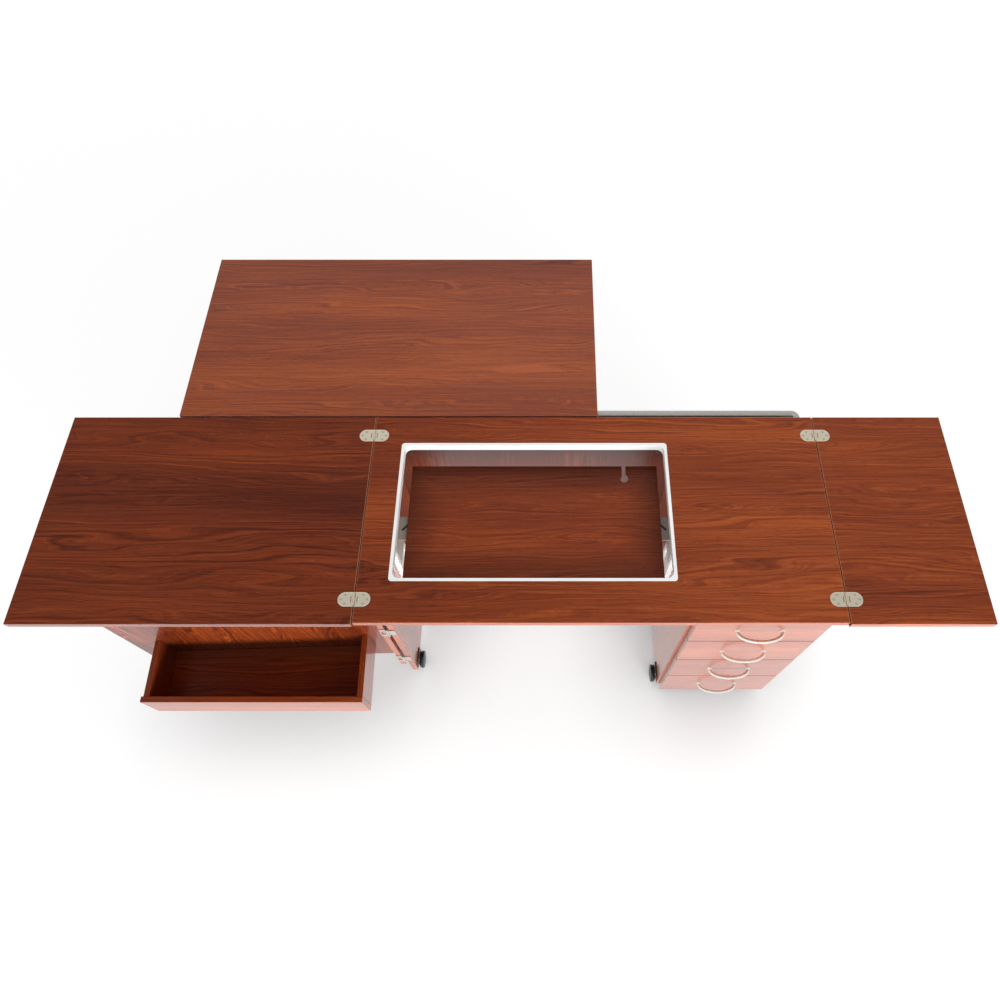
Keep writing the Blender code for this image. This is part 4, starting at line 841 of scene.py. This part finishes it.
class CABINET_OT_lift_shade_bars(bpy.types.Operator):
    """Adds a low black bar on each arm of the lift, beside the platform, as painted shade for the dark gap
    between the arm's two tabs
    """

    bl_idname = "cabinet.lift_bumpers"
    bl_label = "Lift bumpers"

    def execute(self, context):
        nylon = bpy.data.materials[BLACK_NYLON]
        section = arch(SHADE_BAR_WIDE, SHADE_BAR_RISE) - (0.0, SHADE_BAR_SUNK)
        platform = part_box("machine_platform")
        along = np.linspace(-1, 1, 9)[:, None]
        for label, end, way in (("left", 0, -1), ("right", 1, 1)):
            low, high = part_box(f"lift_carriage_{label}")
            middle_y = (low.y + high.y) / 2 + SHADE_BAR_BACK
            middle = np.array((platform[end].x + way * SHADE_BAR_OUT, middle_y, high.z))
            path = middle + along * np.array((way, -1.0, 0.0)) * SHADE_BAR_REACH
            normals = np.tile(np.array((1.0, way, 0.0)) / math.sqrt(2), (len(path), 1))
            grid = swept(path, normals, section, UP)
            # Painted shade: a black bar for the dark gap in the lift's arm
            surface(f"lift_bumper_{label}", [grid], "lift", nylon, 40)
        return {"FINISHED"}


# Stage

# Each lamp: name, place, the point that it faces, size, and the setting that holds its power
LAMPS = (
    ("overhead_softbox", (1.3, 2.0, 4.5), (0.2, 0.1, 0.6), (5.0, 3.4), "sky_power"),
    ("front_softbox", (0.5, -3.6, 0.9), (0.0, -0.4, 0.35), (4.0, 0.9), "front_power"),
)
FLOOR_REACH = 14.0
FLOOR_UNDER = 0.4 * MM
# The shown floor's share of real shade, which falls to none between these distances, in metres
SHADE_SHARE = 0.35
SHADE_FROM = 1.6
SHADE_TO = 5.0
# How far from the object the floor darkens, and the floor's brightness, a little over white
CONTACT_SHADE = 0.3
FLOOR_GLOW = 1.05
# The share of its real shade that a mirrored floor keeps
MIRRORED_SHADE = 0.45
# What mirrors see, from the front of the studio to the back: a place on the ramp and a grey
STUDIO_GREYS = ((0.46, 1.0), (0.6, 0.5), (0.7, 0.55), (0.84, 1.0))
WHITE = opaque(grey(1.0))


def area_lamp(name, place, target, size, power):
    """A soft box that lights the scene and isn't mirrored in it."""
    lamp = bpy.data.lights.new(name, "AREA")
    lamp.shape = "RECTANGLE"
    lamp.size, lamp.size_y = size
    lamp.energy = power
    made = bpy.data.objects.new(name, lamp)
    bpy.context.scene.collection.objects.link(made)
    made.location = place
    made.rotation_euler = (Vector(target) - Vector(place)).to_track_quat("-Z", "Y").to_euler()
    made.visible_glossy = False


def seen_directly(tree):
    """Two switches: 1 for rays from the camera, and 1 for rays from the camera, a mirror or a glass."""
    path = add(tree, "ShaderNodeLightPath").outputs
    feeds = {0: path["Is Glossy Ray"], 1: path["Is Transmission Ray"]}
    mirrored = add(tree, "ShaderNodeMath", feeds, operation="MAXIMUM").outputs[0]
    feeds = {0: path["Is Camera Ray"], 1: mirrored}
    both = add(tree, "ShaderNodeMath", feeds, operation="MAXIMUM").outputs[0]
    return path["Is Camera Ray"], both


class CABINET_OT_stage(bpy.types.Operator):
    """Sets the floor, the lamps, the world and the camera"""

    bl_idname = "cabinet.stage"
    bl_label = "Stage"

    def execute(self, context):
        look = context.scene.cabinet_stage
        self.floor(look)
        self.world(context.scene, look)
        for name, place, target, size, power in LAMPS:
            area_lamp(name, place, target, size, getattr(look, power))
        self.camera(context.scene, look)
        context.scene.view_settings.view_transform = "Standard"
        return {"FINISHED"}

    def floor(self, look):
        """A plain sheet, matt, that shows white where it is seen directly, with the object's soft shadow
        near the middle."""
        mesh = bpy.data.meshes.new("studio_floor")
        corners = FLOOR_REACH * np.array([(-1, -1), (1, -1), (1, 1), (-1, 1)])
        under = np.full((4, 1), -FLOOR_UNDER)
        mesh.from_pydata(np.hstack([corners, under]).tolist(), [], [(0, 1, 2, 3)])
        made, tree, place = new_material("matt_white_paper")
        colour = opaque(look.floor)
        matt = add(tree, "ShaderNodeBsdfDiffuse", {"Color": colour}).outputs[0]
        feeds = {"Color": colour, "Distance": CONTACT_SHADE}
        near = add(tree, "ShaderNodeAmbientOcclusion", feeds, samples=12).outputs[0]
        soft = add(tree, "ShaderNodeEmission", {"Color": near, "Strength": FLOOR_GLOW}).outputs[0]
        glow = add(tree, "ShaderNodeEmission", {"Color": colour, "Strength": 1.0}).outputs[0]
        far = add(tree, "ShaderNodeVectorMath", {0: place}, operation="LENGTH").outputs["Value"]
        feeds = {"Value": far, "From Min": SHADE_FROM, "From Max": SHADE_TO}
        feeds.update({"To Min": SHADE_SHARE, "To Max": 0.0})
        shade = add(tree, "ShaderNodeMapRange", feeds).outputs[0]
        shown = add(tree, "ShaderNodeMixShader", {0: shade, 1: soft, 2: matt}).outputs[0]
        mirrored = add(tree, "ShaderNodeMixShader", {0: MIRRORED_SHADE, 1: glow, 2: matt}).outputs[0]
        camera_ray, direct = seen_directly(tree)
        plain = add(tree, "ShaderNodeMixShader", {0: direct, 1: matt, 2: mirrored}).outputs[0]
        close_material(tree, add(tree, "ShaderNodeMixShader", {0: camera_ray, 1: plain, 2: shown}))
        mesh.materials.append(made)
        floor = bpy.data.objects.new("studio_floor", mesh)
        bpy.context.scene.collection.objects.link(floor)

    def world(self, scene, look):
        """Even light all round. Mirrors see a studio that is pale in front and low behind, and dim
        above. The camera sees white."""
        world = bpy.data.worlds.new("studio")
        scene.world = world
        world.use_nodes = True
        tree = world.node_tree
        tree.nodes.clear()
        way = add(tree, "ShaderNodeTexCoord").outputs["Generated"]
        depth = add(tree, "ShaderNodeSeparateXYZ", {0: way}).outputs["Y"]
        feeds = {0: depth, 1: 0.5, 2: 0.5}
        from_front = add(tree, "ShaderNodeMath", feeds, operation="MULTIPLY_ADD").outputs[0]
        stops = [(place, grey(value)) for place, value in STUDIO_GREYS]
        greys = add(tree, "ShaderNodeValToRGB", {0: from_front}, stops).outputs[0]
        even = add(tree, "ShaderNodeBackground", {"Color": WHITE, "Strength": look.ambient}).outputs[0]
        studio = add(tree, "ShaderNodeBackground", {"Color": greys, "Strength": 1.0}).outputs[0]
        white = add(tree, "ShaderNodeBackground", {"Color": WHITE, "Strength": 1.0}).outputs[0]
        camera_ray, direct = seen_directly(tree)
        mirrored = add(tree, "ShaderNodeMixShader", {0: direct, 1: even, 2: studio}).outputs[0]
        shown = add(tree, "ShaderNodeMixShader", {0: camera_ray, 1: mirrored, 2: white}).outputs[0]
        add(tree, "ShaderNodeOutputWorld", {"Surface": shown})

    def camera(self, scene, look):
        """The camera that was fitted to the photo."""
        data = bpy.data.cameras.new("photo_camera")
        data.sensor_width = SENSOR
        data.lens = look.focal_px / PHOTO_SIDE * SENSOR
        data.shift_x = (PHOTO_SIDE / 2 - look.middle_px[0]) / PHOTO_SIDE
        data.shift_y = (look.middle_px[1] - PHOTO_SIDE / 2) / PHOTO_SIDE
        made = bpy.data.objects.new("photo_camera", data)
        scene.collection.objects.link(made)
        made.location = look.camera_place
        made.rotation_euler = (look.camera_tilt, 0.0, 0.0)
        scene.camera = made


SETTINGS = {
    "cabinet_melamine": CabinetMelamine,
    "cabinet_hardware": CabinetHardware,
    "cabinet_stage": CabinetStage,
}
STEPS = (
    CABINET_OT_dress_boards,
    CABINET_OT_dress_hardware,
    CABINET_OT_leaf_hinge_fittings,
    CABINET_OT_door_hinge_screws,
    CABINET_OT_handle_feet,
    CABINET_OT_caster_wheels,
    CABINET_OT_panel_fittings,
    CABINET_OT_lift_shade_bars,
    CABINET_OT_stage,
)


class CABINET_PT_looks(bpy.types.Panel):
    """Lists the cabinet's steps and settings"""

    bl_idname = "CABINET_PT_looks"
    bl_label = "Sewing Cabinet"
    bl_space_type = "VIEW_3D"
    bl_region_type = "UI"
    bl_category = "Cabinet"

    def draw(self, context):
        for step in STEPS:
            self.layout.operator(step.bl_idname)
        for key, group in SETTINGS.items():
            box = self.layout.box()
            for setting in group.__annotations__:
                box.prop(getattr(context.scene, key), setting)


def register():
    for kind in (*SETTINGS.values(), *STEPS, CABINET_PT_looks):
        bpy.utils.register_class(kind)
    for key, group in SETTINGS.items():
        setattr(bpy.types.Scene, key, PointerProperty(type=group))


def unregister():
    for key in SETTINGS:
        delattr(bpy.types.Scene, key)
    for kind in reversed((*SETTINGS.values(), *STEPS, CABINET_PT_looks)):
        bpy.utils.unregister_class(kind)


def main():
    register()
    for step in STEPS:
        family, action = step.bl_idname.split(".")
        getattr(getattr(bpy.ops, family), action)()


if __name__ == "__main__":
    main()
